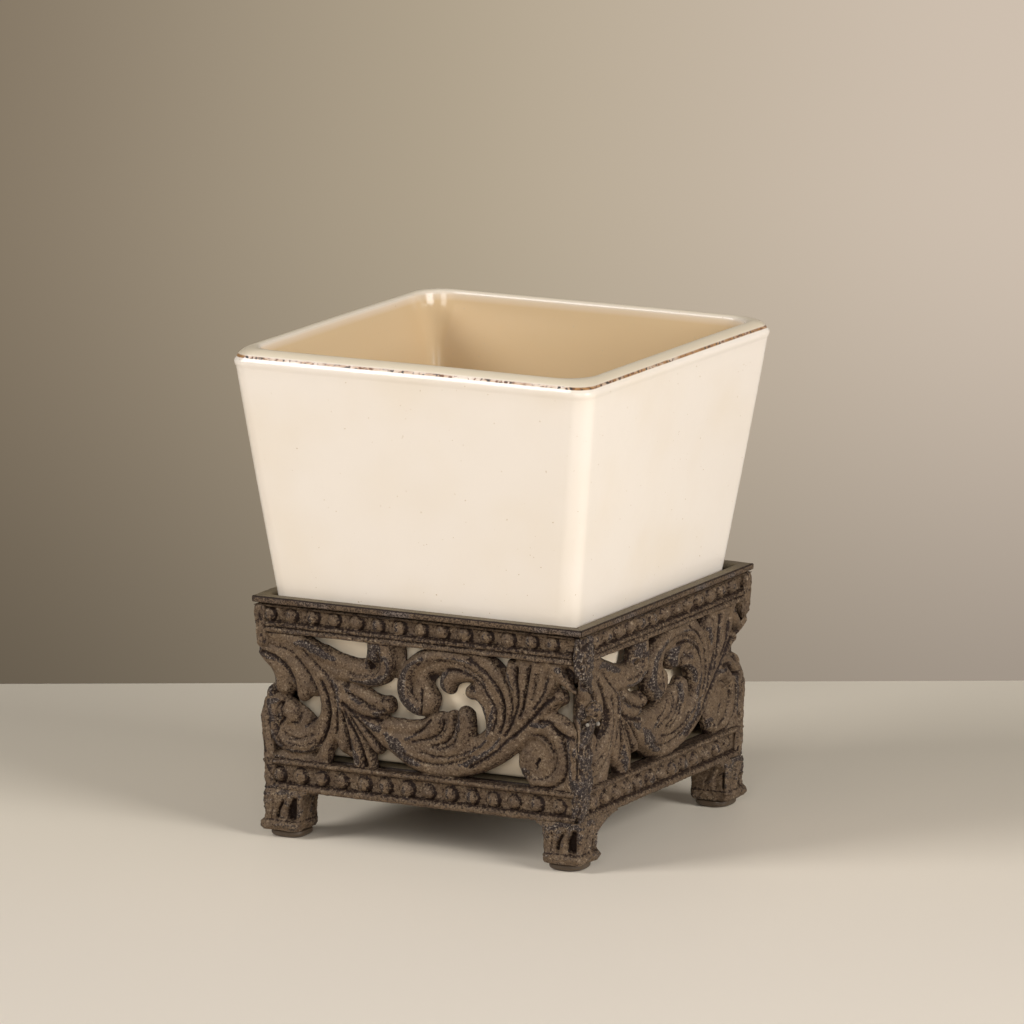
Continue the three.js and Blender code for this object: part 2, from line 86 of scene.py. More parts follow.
def linear(hex_colour):
    """A colour written as sRGB hex, such as "#eddfcd", in linear light with alpha 1."""
    channels = np.array([int(hex_colour[place:place + 2], 16) for place in (1, 3, 5)]) / 255
    light = np.where(channels <= 0.04045, channels / 12.92, ((channels + 0.055) / 1.055) ** 2.4)
    return tuple(float(value) for value in light) + (1.0,)


# Settings that a user would change


def length(name, description, default, low=0.0):
    """A length property. The default is in metres."""
    return FloatProperty(name=name, description=description, default=default, min=low, unit="LENGTH", precision=5)


def colour(name, description, default):
    """A colour property. The default is sRGB hex."""
    return FloatVectorProperty(
        name=name, description=description, default=linear(default), size=4, min=0.0, max=1.0, subtype="COLOR"
    )


def power(name, description, default):
    """A lamp's power property."""
    return FloatProperty(name=name, description=description, default=default, min=0.0, unit="POWER")


class CupSettings(bpy.types.PropertyGroup):
    """Sizes and colours of the cup"""

    wall: length("Wall", "Thickness of the cup's wall", 0.0044)
    outer_corner: length("Outer corner", "Radius of the cup's upright corners outside", 0.005)
    inner_corner: length("Inner corner", "Radius of the cup's upright corners inside, at the rim", 0.0085)
    bulge: length("Bulge", "How far the sides swell between foot and rim", 0.0004)
    askew: length("Askew", "How far the cup's foot stands aside from the middle of the stand", 0.0011)
    rim_drop: length("Rim drop", "Height of the rim's rounding, down to the line where the glaze breaks", 0.002)
    roll: length("Roll", "How far the glaze bulges below the line where it breaks", 0.00028)
    glaze: colour("Glaze", "Cream glaze where it lies thick", "#f0e5d8")
    glaze_shade: colour("Glaze shade", "Cream glaze where it pools", "#ede0cf")
    # Painted shade: the glaze inside the cup is painted tan and darker
    inside_painted_shade: colour("Inside glaze", "Tan glaze inside the cup", "#d6ba91")
    rim_glaze: colour("Rim glaze", "Thin dry glaze on top of the rim", "#dccdb4")
    rim_rust: colour("Rim rust", "Burnt brown where the glaze breaks", "#6b3f22")
    clay: colour("Clay", "Bare dark clay under the foot", "#43352a")


class StandSettings(bpy.types.PropertyGroup):
    """Sizes and colours of the metal stand"""

    grid: length("Grid", "Spacing of the points on a cast panel", 0.00034, 0.0002)
    lean: length("Lean", "How much further out a panel's face is at its top than at its foot", 0.0019)
    depth: length("Depth", "Thickness of a cast panel, from its back to its face", 0.0046)
    grain: length("Grain", "Height of the sand grain on cast metal", 0.00007)
    brown: colour("Brown", "Brown patina on the metal", "#6a5743")
    brown_dark: colour("Dark brown", "Brown patina where it is thick", "#38271b")
    # This dark colour is dark patina and painted shade in the hollows
    dirt_and_shade: colour("Dirt", "Dark patina in the hollows", "#22130a")
    crest: colour("Crest", "Grey metal where the patina is rubbed off the crests", "#4b3f38")
    crest_light: colour("Crest fleck", "Bright flecks on the rubbed crests", "#8f8375")
    crest_dark: colour("Crest pit", "Dark pits on the rubbed crests", "#271e1b")
    bar: colour("Bar", "Olive brown patina on the flat bars", "#756850")
    pad: colour("Pad", "Brown rubber of the foot pads", "#493a2b")


class StageSettings(bpy.types.PropertyGroup):
    """The floor, the backdrop and the lamps"""

    floor: colour("Floor", "Pale table top", "#f2e6d6")
    floor_far: colour("Floor far", "Table top towards the backdrop", "#f3e7d3")
    wall_dark: colour("Wall dark", "Backdrop at its dark side", "#7f7260")
    wall_middle: colour("Wall middle", "Backdrop behind the object", "#b6a892")
    wall_light: colour("Wall light", "Backdrop at its light side", "#cfc0b0")
    key_power: power("Key power", "Power of the main lamp", 11.1)
    front_power: power("Front power", "Power of the lamp beside the camera", 4.2)
    fill_power: power("Fill power", "Power of the fill lamp", 15.5)
    world_light: FloatProperty(name="World light", description="Strength of the even light", default=0.07, min=0.0)


# Meshes


def piece_from(name, points, quads, triangles, material, attributes=None, sharp=40.0):
    """A mesh object from arrays: points in millimetres, quads and triangles as rows of point numbers.

    Attributes are arrays of one value per point. Edges sharper than the given angle are shaded sharp.
    """
    mesh = bpy.data.meshes.new(name)
    quads = np.asarray(quads, np.int32).reshape(-1, 4)
    triangles = np.asarray(triangles, np.int32).reshape(-1, 3)
    mesh.vertices.add(len(points))
    mesh.vertices.foreach_set("co", (np.asarray(points) * MM).astype(np.float32).ravel())
    mesh.loops.add(quads.size + triangles.size)
    mesh.loops.foreach_set("vertex_index", np.concatenate([quads.ravel(), triangles.ravel()]))
    totals = np.concatenate([np.full(len(quads), 4, np.int32), np.full(len(triangles), 3, np.int32)])
    mesh.polygons.add(len(totals))
    mesh.polygons.foreach_set("loop_start", np.concatenate([[0], np.cumsum(totals)[:-1]]).astype(np.int32))
    mesh.polygons.foreach_set("loop_total", totals)
    mesh.polygons.foreach_set("use_smooth", np.ones(len(totals), bool))
    mesh.update(calc_edges=True)
    mesh.set_sharp_from_angle(angle=math.radians(sharp))
    for key, values in (attributes or {}).items():
        layer = mesh.attributes.new(key, "FLOAT", "POINT")
        layer.data.foreach_set("value", np.asarray(values, np.float32).ravel())
    mesh.materials.append(material)
    piece = bpy.data.objects.new(name, mesh)
    bpy.context.scene.collection.objects.link(piece)
    return piece


def tube_faces(rings, around):
    """Quads and end caps over rings of points that each close on themselves.

    The last two points are the middles of the first and the last ring, so a cap is a fan of triangles.
    """
    ring, step = np.meshgrid(np.arange(rings - 1), np.arange(around), indexing="ij")
    a = ring * around + step
    b = ring * around + (step + 1) % around
    quads = np.stack([a, b, b + around, a + around], -1).reshape(-1, 4)
    edge = np.arange(around)
    after = (edge + 1) % around
    first = np.stack([np.full(around, rings * around), after, edge], -1)
    last = np.stack([np.full(around, rings * around + 1), edge, after], -1)
    last[:, 1:] += (rings - 1) * around
    return quads, np.concatenate([first, last])


def close_tube(rings):
    """Rings of points as one array with the middles of both end rings added."""
    return np.concatenate([rings.reshape(-1, 3), rings[:1].mean(1), rings[-1:].mean(1)])


def joined(parts):
    """Closed tubes as one set of points, quads, triangles and attributes.

    A part is its rings and, for each attribute, one value or one value per point.
    """
    points, quads, caps, count = [], [], [], 0
    attributes = {key: [] for key in parts[0][1]}
    for rings, values in parts:
        part_quads, part_caps = tube_faces(*rings.shape[:2])
        points.append(close_tube(rings))
        quads.append(part_quads + count)
        caps.append(part_caps + count)
        count += len(points[-1])
        for key, store in attributes.items():
            store.append(np.append(np.broadcast_to(values[key], rings.shape[:2]), [0.0, 0.0]))
    attributes = {key: np.concatenate(store) for key, store in attributes.items()}
    return np.concatenate(points), np.concatenate(quads), np.concatenate(caps), attributes


def square_path(per_corner, per_side):
    """Directions around a rounded square, anticlockwise from above.

    A point is (half - radius) times the first direction plus radius times the second, which is the outward one.
    """
    inner, outward = [], []
    corners = np.array([[1, -1], [1, 1], [-1, 1], [-1, -1]], float)
    for place, corner in enumerate(corners):
        turn = (place - 1) * np.pi / 2 + np.linspace(0, np.pi / 2, per_corner)
        inner.append(np.repeat(corner[None], per_corner, 0))
        outward.append(np.stack([np.cos(turn), np.sin(turn)], -1))
        share = np.linspace(0, 1, per_side + 2)[1:-1, None]
        following = corners[(place + 1) % 4]
        inner.append(corner + (following - corner) * share)
        outward.append(np.repeat(outward[-1][-1:], per_side, 0))
    return np.concatenate(inner), np.concatenate(outward)


def square_rings(half, radius, per_corner, per_side):
    """Rounded squares with the given half widths and corner radii, as flat points, and their outward directions."""
    inner, outward = square_path(per_corner, per_side)
    radius = np.broadcast_to(radius, half.shape)[:, None, None]
    return (half[:, None, None] - radius) * inner + radius * outward, outward


def raised(flat, level):
    """Flat points with their heights: one height for each ring, or one for each point."""
    return np.concatenate([flat, np.broadcast_to(level, flat.shape[:2])[..., None]], -1)


def turned(points, turns):
    """Points turned about the upright axis by quarter turns."""
    cosine, sine = np.cos(turns * np.pi / 2), np.sin(turns * np.pi / 2)
    x, y = points[..., 0], points[..., 1]
    return np.stack([x * cosine - y * sine, x * sine + y * cosine, points[..., 2]], -1)


def blurred(field, radius):
    """A field on a grid, smoothed by a bell curve whose radius is given in grid steps."""
    reach = int(math.ceil(3 * radius))
    steps = np.arange(-reach, reach + 1)
    bell = np.exp(-0.5 * (steps / radius) ** 2)
    bell /= bell.sum()
    for axis in (0, 1):
        padding = [(0, 0), (0, 0)]
        padding[axis] = (reach, reach)
        wide = np.pad(field, padding, mode="edge")
        size = field.shape[axis]
        field = sum(
            weight * np.take(wide, np.arange(place, place + size), axis) for place, weight in enumerate(bell)
        )
    return field


def grain(shape, radius, seed):
    """Smooth noise on a grid: random numbers blurred by the radius in grid steps, scaled to a spread of one."""
    noise = blurred(np.random.default_rng(seed).standard_normal(shape), radius)
    return noise / noise.std()


def smooth_step(low, high, value):
    """0 below low, 1 above high, and an S-shaped rise between."""
    share = np.clip((value - low) / (high - low), 0, 1)
    return share * share * (3 - 2 * share)


def rise_and_fall(value, rise, fall):
    """0 before the rise, 1 between, and 0 after the fall, which are pairs of values where they start and end."""
    return smooth_step(*rise, value) * (1 - smooth_step(*fall, value))


def bell(away, width=1.0, power=2):
    """1 in the middle and almost 0 at twice the width, exp(-(away / width) ** power)."""
    return np.exp(-(away / width) ** power)


# Materials

# Patina hides most of the metal, so its surface is only a little metallic
METALLIC = 0.2


def add_node(tree, kind, inputs=None, output=0, **settings):
    """Adds a node with its settings, sets its inputs or links them to sockets, and returns one of its outputs."""
    node = tree.nodes.new(kind)
    for key, value in settings.items():
        setattr(node, key, value)
    for key, value in (inputs or {}).items():
        if isinstance(value, bpy.types.NodeSocket):
            tree.links.new(value, node.inputs[key])
        else:
            node.inputs[key].default_value = value
    return node.outputs[output] if node.outputs else None


def pattern(tree, source, edges=None, detail=2.0, roughness=0.5):
    """A value that changes over a piece's surface.

    The source is the name of an attribute of the piece, the width in millimetres of the patches of a random pattern,
    or a value made before. Edges are the levels of the source that become 0 and 1, with a smooth rise between.
    """
    if isinstance(source, str):
        source = add_node(tree, "ShaderNodeAttribute", output="Fac", attribute_name=source)
    elif isinstance(source, (int, float)):
        place = add_node(tree, "ShaderNodeTexCoord", output="Object")
        place = add_node(tree, "ShaderNodeMapping", {"Vector": place, "Scale": (1 / (source * MM),) * 3})
        source = add_node(
            tree, "ShaderNodeTexNoise", {"Vector": place, "Scale": 1.0, "Detail": detail, "Roughness": roughness}
        )
    if edges is None:
        return source
    return add_node(
        tree, "ShaderNodeMapRange", {"Value": source, "From Min": edges[0], "From Max": edges[1]}, clamp=True,
        interpolation_type="SMOOTHSTEP",
    )


def coated(tree, base, *coats):
    """A base colour under coats of other colours. A coat is its colour and where it lies, as for a pattern."""
    for shade, *where in coats:
        cover = pattern(tree, *where)
        base = add_node(tree, "ShaderNodeMix", {0: cover, 6: base, 7: shade}, 2, data_type="RGBA")
    return base


def distance_along(tree, direction):
    """How far each point lies along a direction, in metres."""
    place = add_node(tree, "ShaderNodeTexCoord", output="Object")
    return add_node(
        tree, "ShaderNodeVectorMath", {0: place, 1: tuple(direction)}, "Value", operation="DOT_PRODUCT"
    )


def new_material(name):
    """An empty node material and its tree."""
    material = bpy.data.materials.new(name)
    material.use_nodes = True
    material.node_tree.nodes.clear()
    return material, material.node_tree


def finish_material(tree, base, roughness, bump=None, bump_depth=0.0, finish=None):
    """Ends a tree with a Principled shader. Colour and roughness may be sockets, and the bump's depth is in mm."""
    inputs = {"Base Color": base, "Roughness": roughness, **(finish or {})}
    if bump is not None:
        inputs["Normal"] = add_node(
            tree, "ShaderNodeBump", {"Height": bump, "Strength": 1.0, "Distance": bump_depth * MM}
        )
    shader = add_node(tree, "ShaderNodeBsdfPrincipled", inputs)
    add_node(tree, "ShaderNodeOutputMaterial", {"Surface": shader})


def glazed_stoneware(cup):
    """Glazed stoneware, dipped and fired: a glossy cream skin that breaks to burnt brown on the rim's edge."""
    material, tree = new_material("glazed_stoneware")
    top, edge, bare = (pattern(tree, name) for name in ("rim_top", "rim_edge", "bare"))
    base = coated(
        tree, cup.glaze, (cup.glaze_shade, 30.0, (0.35, 0.7)),
        # Inside, the glaze is painted tan and darker: painted shade
        (cup.inside_painted_shade, "inside"),
        # Low on the cup, below about 5 cm where it shows through the openwork, the glaze is painted a brighter, warmer
        # cream: painted light
        (linear("#fae7ca"), distance_along(tree, (0, 0, 1)), (0.070, 0.048)),
        # Pinholes, about 0.4 mm wide and few
        (linear("#c9b393"), 0.9, (0.775, 0.81), 1.0),
        # On top of the rim it is thin and greyer
        (cup.rim_glaze, top),
    )
    # Where the glaze breaks: a thin halo, nowhere weaker than 0.315, and specks of about 0.6 mm that come and go
    halo = add_node(
        tree, "ShaderNodeMath", {0: pattern(tree, 5.5, (0.30, 0.60)), 1: 0.7, 2: 0.315}, operation="MULTIPLY_ADD"
    )
    halo = add_node(tree, "ShaderNodeMath", {0: halo, 1: pattern(tree, edge, (0.15, 0.9))}, operation="MULTIPLY")
    speck = pattern(tree, 0.85, (0.49, 0.57), 1.0, 0.6)
    for part in (pattern(tree, edge, (0.45, 0.85)), pattern(tree, 6.0, (0.30, 0.50))):
        speck = add_node(tree, "ShaderNodeMath", {0: speck, 1: part}, operation="MULTIPLY")
    char = pattern(tree, 1.7, (0.52, 0.62), 1.0)
    char = add_node(tree, "ShaderNodeMath", {0: speck, 1: char}, operation="MULTIPLY")
    base = coated(
        tree, base, (linear("#a87d50"), halo), (cup.rim_rust, speck), (linear("#2f2a22"), char),
        # The foot is bare underneath
        (cup.clay, bare),
    )
    # Rust and bare clay are dry, and the top of the rim is nearly so
    dry = add_node(tree, "ShaderNodeMath", {0: top, 1: 0.75}, operation="MULTIPLY")
    for part in (speck, bare):
        dry = add_node(tree, "ShaderNodeMath", {0: dry, 1: part}, operation="MAXIMUM")
    gloss = add_node(tree, "ShaderNodeMapRange", {"Value": dry, "To Min": 0.15, "To Max": 0.6}, clamp=True)
    # The bump is the glaze's orange peel, a few millimetres across
    finish_material(tree, base, gloss, pattern(tree, 3.5), bump_depth=0.035, finish={"IOR": 1.5})
    return material


def patinated_iron(name, stand, grain_width, bump_depth, specular, coats=()):
    """Iron with a brown patina, rubbed to a speckled grey on the crests and dark in the hollows: thick patina and
    painted shade.

    The attribute rub is 1 where it is rubbed off, and hollow is 1 deep between the crests. A share of the grain is
    added to each, speck * strength + field, so that their edges are rows of specks.
    """
    material, tree = new_material(name)
    rub, hollow = pattern(tree, "rub"), pattern(tree, "hollow")
    # Sand grain of the casting, about 0.35 mm, drawn a little coarser so that it shows
    sand = pattern(tree, grain_width, None, 3.0, 0.7)
    fine = pattern(tree, grain_width * 1.05, None, 2.0, 0.8)
    clots = pattern(tree, grain_width * 1.3, None, 2.0, 0.7)
    patch = pattern(tree, 3.2, None, 2.0, 0.6)
    spotted, ragged, filled = (
        add_node(tree, "ShaderNodeMath", {0: speck, 1: strength, 2: field}, operation="MULTIPLY_ADD")
        for speck, strength, field in ((patch, 0.28, sand), (sand, 2.2, rub), (clots, 2.6, hollow))
    )
    brown = coated(
        tree, stand.brown, (linear("#5b4a3a"), 4.0, (0.36, 0.66), 4.0, 0.65),
        (stand.brown_dark, spotted, (0.685, 0.82)), (linear("#8c7a64"), spotted, (0.585, 0.45)),
    )
    crest = coated(
        tree, stand.crest_dark, (stand.crest, fine, (0.46, 0.56)), (stand.crest_light, fine, (0.575, 0.66))
    )
    # The hollows take the dark colour: dark patina and painted shade
    base = coated(tree, brown, (crest, ragged, (1.52, 1.82)), (stand.dirt_and_shade, filled, (1.52, 2.02)), *coats)
    rough = add_node(tree, "ShaderNodeMapRange", {"Value": sand, "To Min": 0.50, "To Max": 0.80})
    # Rubbed metal is coarser than the patina
    coarse = add_node(tree, "ShaderNodeMath", {0: rub, 1: 0.35}, operation="ADD")
    height = add_node(tree, "ShaderNodeMath", {0: fine, 1: coarse, 2: sand}, operation="MULTIPLY_ADD")
    finish_material(tree, base, rough, height, bump_depth, {"Metallic": METALLIC, "Specular IOR Level": specular})
    return material


def sand_cast_metal(stand):
    """Sand-cast iron with a brown patina: matt and grainy, rubbed to a speckled grey on its crests."""
    return patinated_iron("sand_cast_patinated_iron", stand, grain_width=0.55, bump_depth=0.18, specular=0.3)


def weld_bead_metal(stand):
    """Weld deposit, left as it froze: lumpy, darker and rougher than the casting, with small beads painted bright as a
    painted glint.
    """
    return patinated_iron(
        "rough_weld_deposit", stand, grain_width=0.7, bump_depth=0.25, specular=0.35,
        # The bright drops are painted a pale grey: a painted glint
        coats=[(linear("#8d857a"), "bright")],
    )


def rolled_bar_metal(stand):
    """Rolled flat bar with the same patina: smoother than the casting, olive on top, grainy brown along its edge."""
    material, tree = new_material("rolled_patinated_bar")
    speck, fine = pattern(tree, 0.5, None, 3.0, 0.7), pattern(tree, 0.55, None, 2.0, 0.8)
    edge, line, bump = (
        add_node(tree, "ShaderNodeMath", {0: speck, 1: other}, operation="ADD")
        for other in (pattern(tree, "rub"), pattern(tree, "hollow"), fine)
    )
    worn = coated(tree, stand.crest_dark, (linear("#75685f"), fine, (0.42, 0.60)))
    front = coated(
        tree, linear("#302219"), (linear("#6c5945"), fine, (0.40, 0.60)), (worn, 16.0, (0.50, 0.62))
    )
    base = coated(
        tree, stand.bar, (linear("#6c604e"), 5.0, (0.34, 0.68), 4.0, 0.6),
        (linear("#3f352b"), speck, (0.56, 0.70)), (linear("#958a74"), speck, (0.40, 0.28)),
        (front, edge, (0.85, 1.15)), (stand.dirt_and_shade, line, (0.75, 1.15)),
    )
    finish = {"Metallic": METALLIC, "Specular IOR Level": 0.3}
    finish_material(tree, base, roughness=0.55, bump=bump, bump_depth=0.12, finish=finish)
    return material


def moulded_rubber(stand):
    """Moulded rubber pads: even brown with a soft sheen and a little dust in the grain."""
    material, tree = new_material("moulded_brown_rubber")
    base = coated(tree, stand.pad, (linear("#4b3d2e"), 2.5, (0.3, 0.7), 3.0))
    finish_material(tree, base, roughness=0.45, bump=pattern(tree, 0.4), bump_depth=0.02)
    return material


# Cup


# Parts of the cup that the settings don't hold, in millimetres
CUP_FOOT_HALF = 38.8
CUP_FOOT_TURN = 1.5
CUP_FOOT_RING = 5.0
CUP_FOOT_RECESS = 1.2
GLAZE_ROLL_HEIGHT = 3.2
LIP_TURN = 1.1
LIP_DROP = 1.3
DEEP_CORNER = 4.0
FLOOR_TURN = 5.0
FLOOR_TURN_TOP = 10.0
# The row of the profile, counted from 0, after which the rows lie inside the cup
RIM_ROW = 80


def cup_profile(cup):
    """Half width, corner radius and height of the cup's rings, from under the foot, up the outside and down the inside.

    The outside is a straight taper plus a shallow bulge, 4 * bulge * t * (1 - t). Near the rim a roll of glaze stands
    out below the line where it breaks, and above it the rim is rounded. Rows also hold how far the point is on
    top of the rim and on its edge.
    """
    height = CUP_HIGH[2] - CUP_LOW[2]
    wall, outer, inner = cup.wall / MM, cup.outer_corner / MM, cup.inner_corner / MM
    drop, roll, bulge = cup.rim_drop / MM, cup.roll / MM, cup.bulge / MM
    rim_half = CUP_HIGH[0]
    quarter = np.pi / 2

    def half_at(level):
        share = level / height
        return CUP_FOOT_HALF + (rim_half - CUP_FOOT_HALF) * share + 4 * bulge * share * (1 - share)

    # Under the foot: a sunk middle, and the ring that the cup stands on, with a rounded edge
    flat = CUP_FOOT_HALF - CUP_FOOT_TURN
    rows = [[flat - CUP_FOOT_RING - CUP_FOOT_RECESS, outer, CUP_FOOT_RECESS, 0, 0]]
    rows += [[half, outer, 0.0, 0, 0] for half in (flat - CUP_FOOT_RING, flat)]
    for turn in np.linspace(0, quarter, 6)[1:]:
        rows.append([flat + CUP_FOOT_TURN * np.sin(turn), outer, CUP_FOOT_TURN * (1 - np.cos(turn)), 0, 0])
    # Up the outside
    break_level = height - drop
    roll_level = break_level - GLAZE_ROLL_HEIGHT
    rows += [[half_at(level), outer, level, 0, 0] for level in np.linspace(2.5, roll_level, 40)]
    # The roll of glaze below the break line
    for share in np.linspace(0, 1, 15)[1:]:
        level = roll_level + GLAZE_ROLL_HEIGHT * share
        swell = roll * np.sin(np.pi * min(share / 0.9, 1.0)) ** 1.4
        tuck = 0.50 * max(0.0, (share - 0.55) / 0.45) ** 1.8 + 0.12 * share
        rows.append([half_at(level) + swell - tuck, outer, level, 0, smooth_step(0.84, 0.97, share)])
    # Over the rim
    edge_half = rows[-1][0]
    lip_half = rim_half - wall + LIP_TURN
    for share in np.linspace(0, 1, 17)[1:]:
        half = edge_half + (lip_half - edge_half) * share
        level = break_level + drop * (1 - (1 - share) ** 2.0) ** 0.8
        rows.append([half, outer + (inner - outer) * share * 0.6, level, smooth_step(0.0, 0.15, share),
                     1 - smooth_step(0.02, 0.12, share)])
    for turn in np.linspace(0, quarter, 7)[1:]:
        level = height - LIP_DROP * (1 - np.cos(turn))
        rows.append([lip_half - LIP_TURN * np.sin(turn), inner, level, 1 - turn / quarter, 0])
    # Down the inside, where the corners are tighter below the rim, and round into the floor
    for level in np.linspace(height - 3.0, FLOOR_TURN_TOP, 36):
        corner = DEEP_CORNER + (inner - DEEP_CORNER) * smooth_step(height - 16.0, height - 3.0, level)
        rows.append([half_at(level) - wall, corner, level, 0, 0])
    bottom = half_at(FLOOR_TURN_TOP) - wall
    for turn in np.linspace(0, quarter, 8)[1:]:
        rows.append([bottom - FLOOR_TURN * (1 - np.cos(turn)), DEEP_CORNER,
                     FLOOR_TURN_TOP - FLOOR_TURN * np.sin(turn), 0, 0])
    rows.append([bottom - 12.0, DEEP_CORNER, 4.95, 0, 0])
    return np.array(rows)


def make_cup():
    """The profile carried around a rounded square, with a hand-made waviness of a fifth of a millimetre."""
    cup = bpy.context.scene.pen_holder_cup
    profile = cup_profile(cup)
    level = profile[:, 2, None]
    flat, outward = square_rings(profile[:, 0], profile[:, 1], per_corner=13, per_side=56)
    around = len(outward)
    turn = np.linspace(0, 2 * np.pi, around, endpoint=False)
    height = CUP_HIGH[2] - CUP_LOW[2]
    # The rim's height and the walls wave a little, because the clay was pressed and fired
    rim_share = smooth_step(height - 30.0, height, level)
    dip = 0.5 + 0.5 * np.sin(turn * 4 + 0.8) * 0.6 + 0.2 * np.sin(turn * 7 + 2.0)
    z = CUP_LOW[2] + level - 0.16 * rim_share * np.clip(dip, 0, 1)
    wave = np.sin(turn * 3 + level / 17.0 + 0.4) + 0.6 * np.sin(turn * 8 - level / 11.0)
    inward = 0.04 * (1 + np.clip(wave / 1.6, -1, 1)) * smooth_step(0.0, 8.0, level)
    flat = flat - outward * inward[..., None]
    # The cup stands a little askew in the stand
    flat = flat - np.array([1.0, 0.5]) * (cup.askew / MM * (1 - level / height))[..., None]
    quads, caps = tube_faces(len(profile), around)
    # Each attribute is one value for a ring, and then its values at the middles of the foot and of the floor
    row = np.arange(len(profile))
    within = smooth_step(height - 0.3, height - 2.2, profile[:, 2]) * (row > RIM_ROW)
    attributes = {
        key: np.append(np.repeat(values, around), ends)
        for key, values, ends in (
            ("rim_top", profile[:, 3], [0, 0]), ("rim_edge", profile[:, 4], [0, 0]), ("inside", within, [0, 1]),
            ("bare", row < 3, [1, 0]),
        )
    }
    points = close_tube(raised(flat, z))
    piece = piece_from("glazed_cup", points, quads, caps, glazed_stoneware(cup), attributes, sharp=60)
    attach(piece, "cup")
    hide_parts("ceramic_cup")


# Cast panels

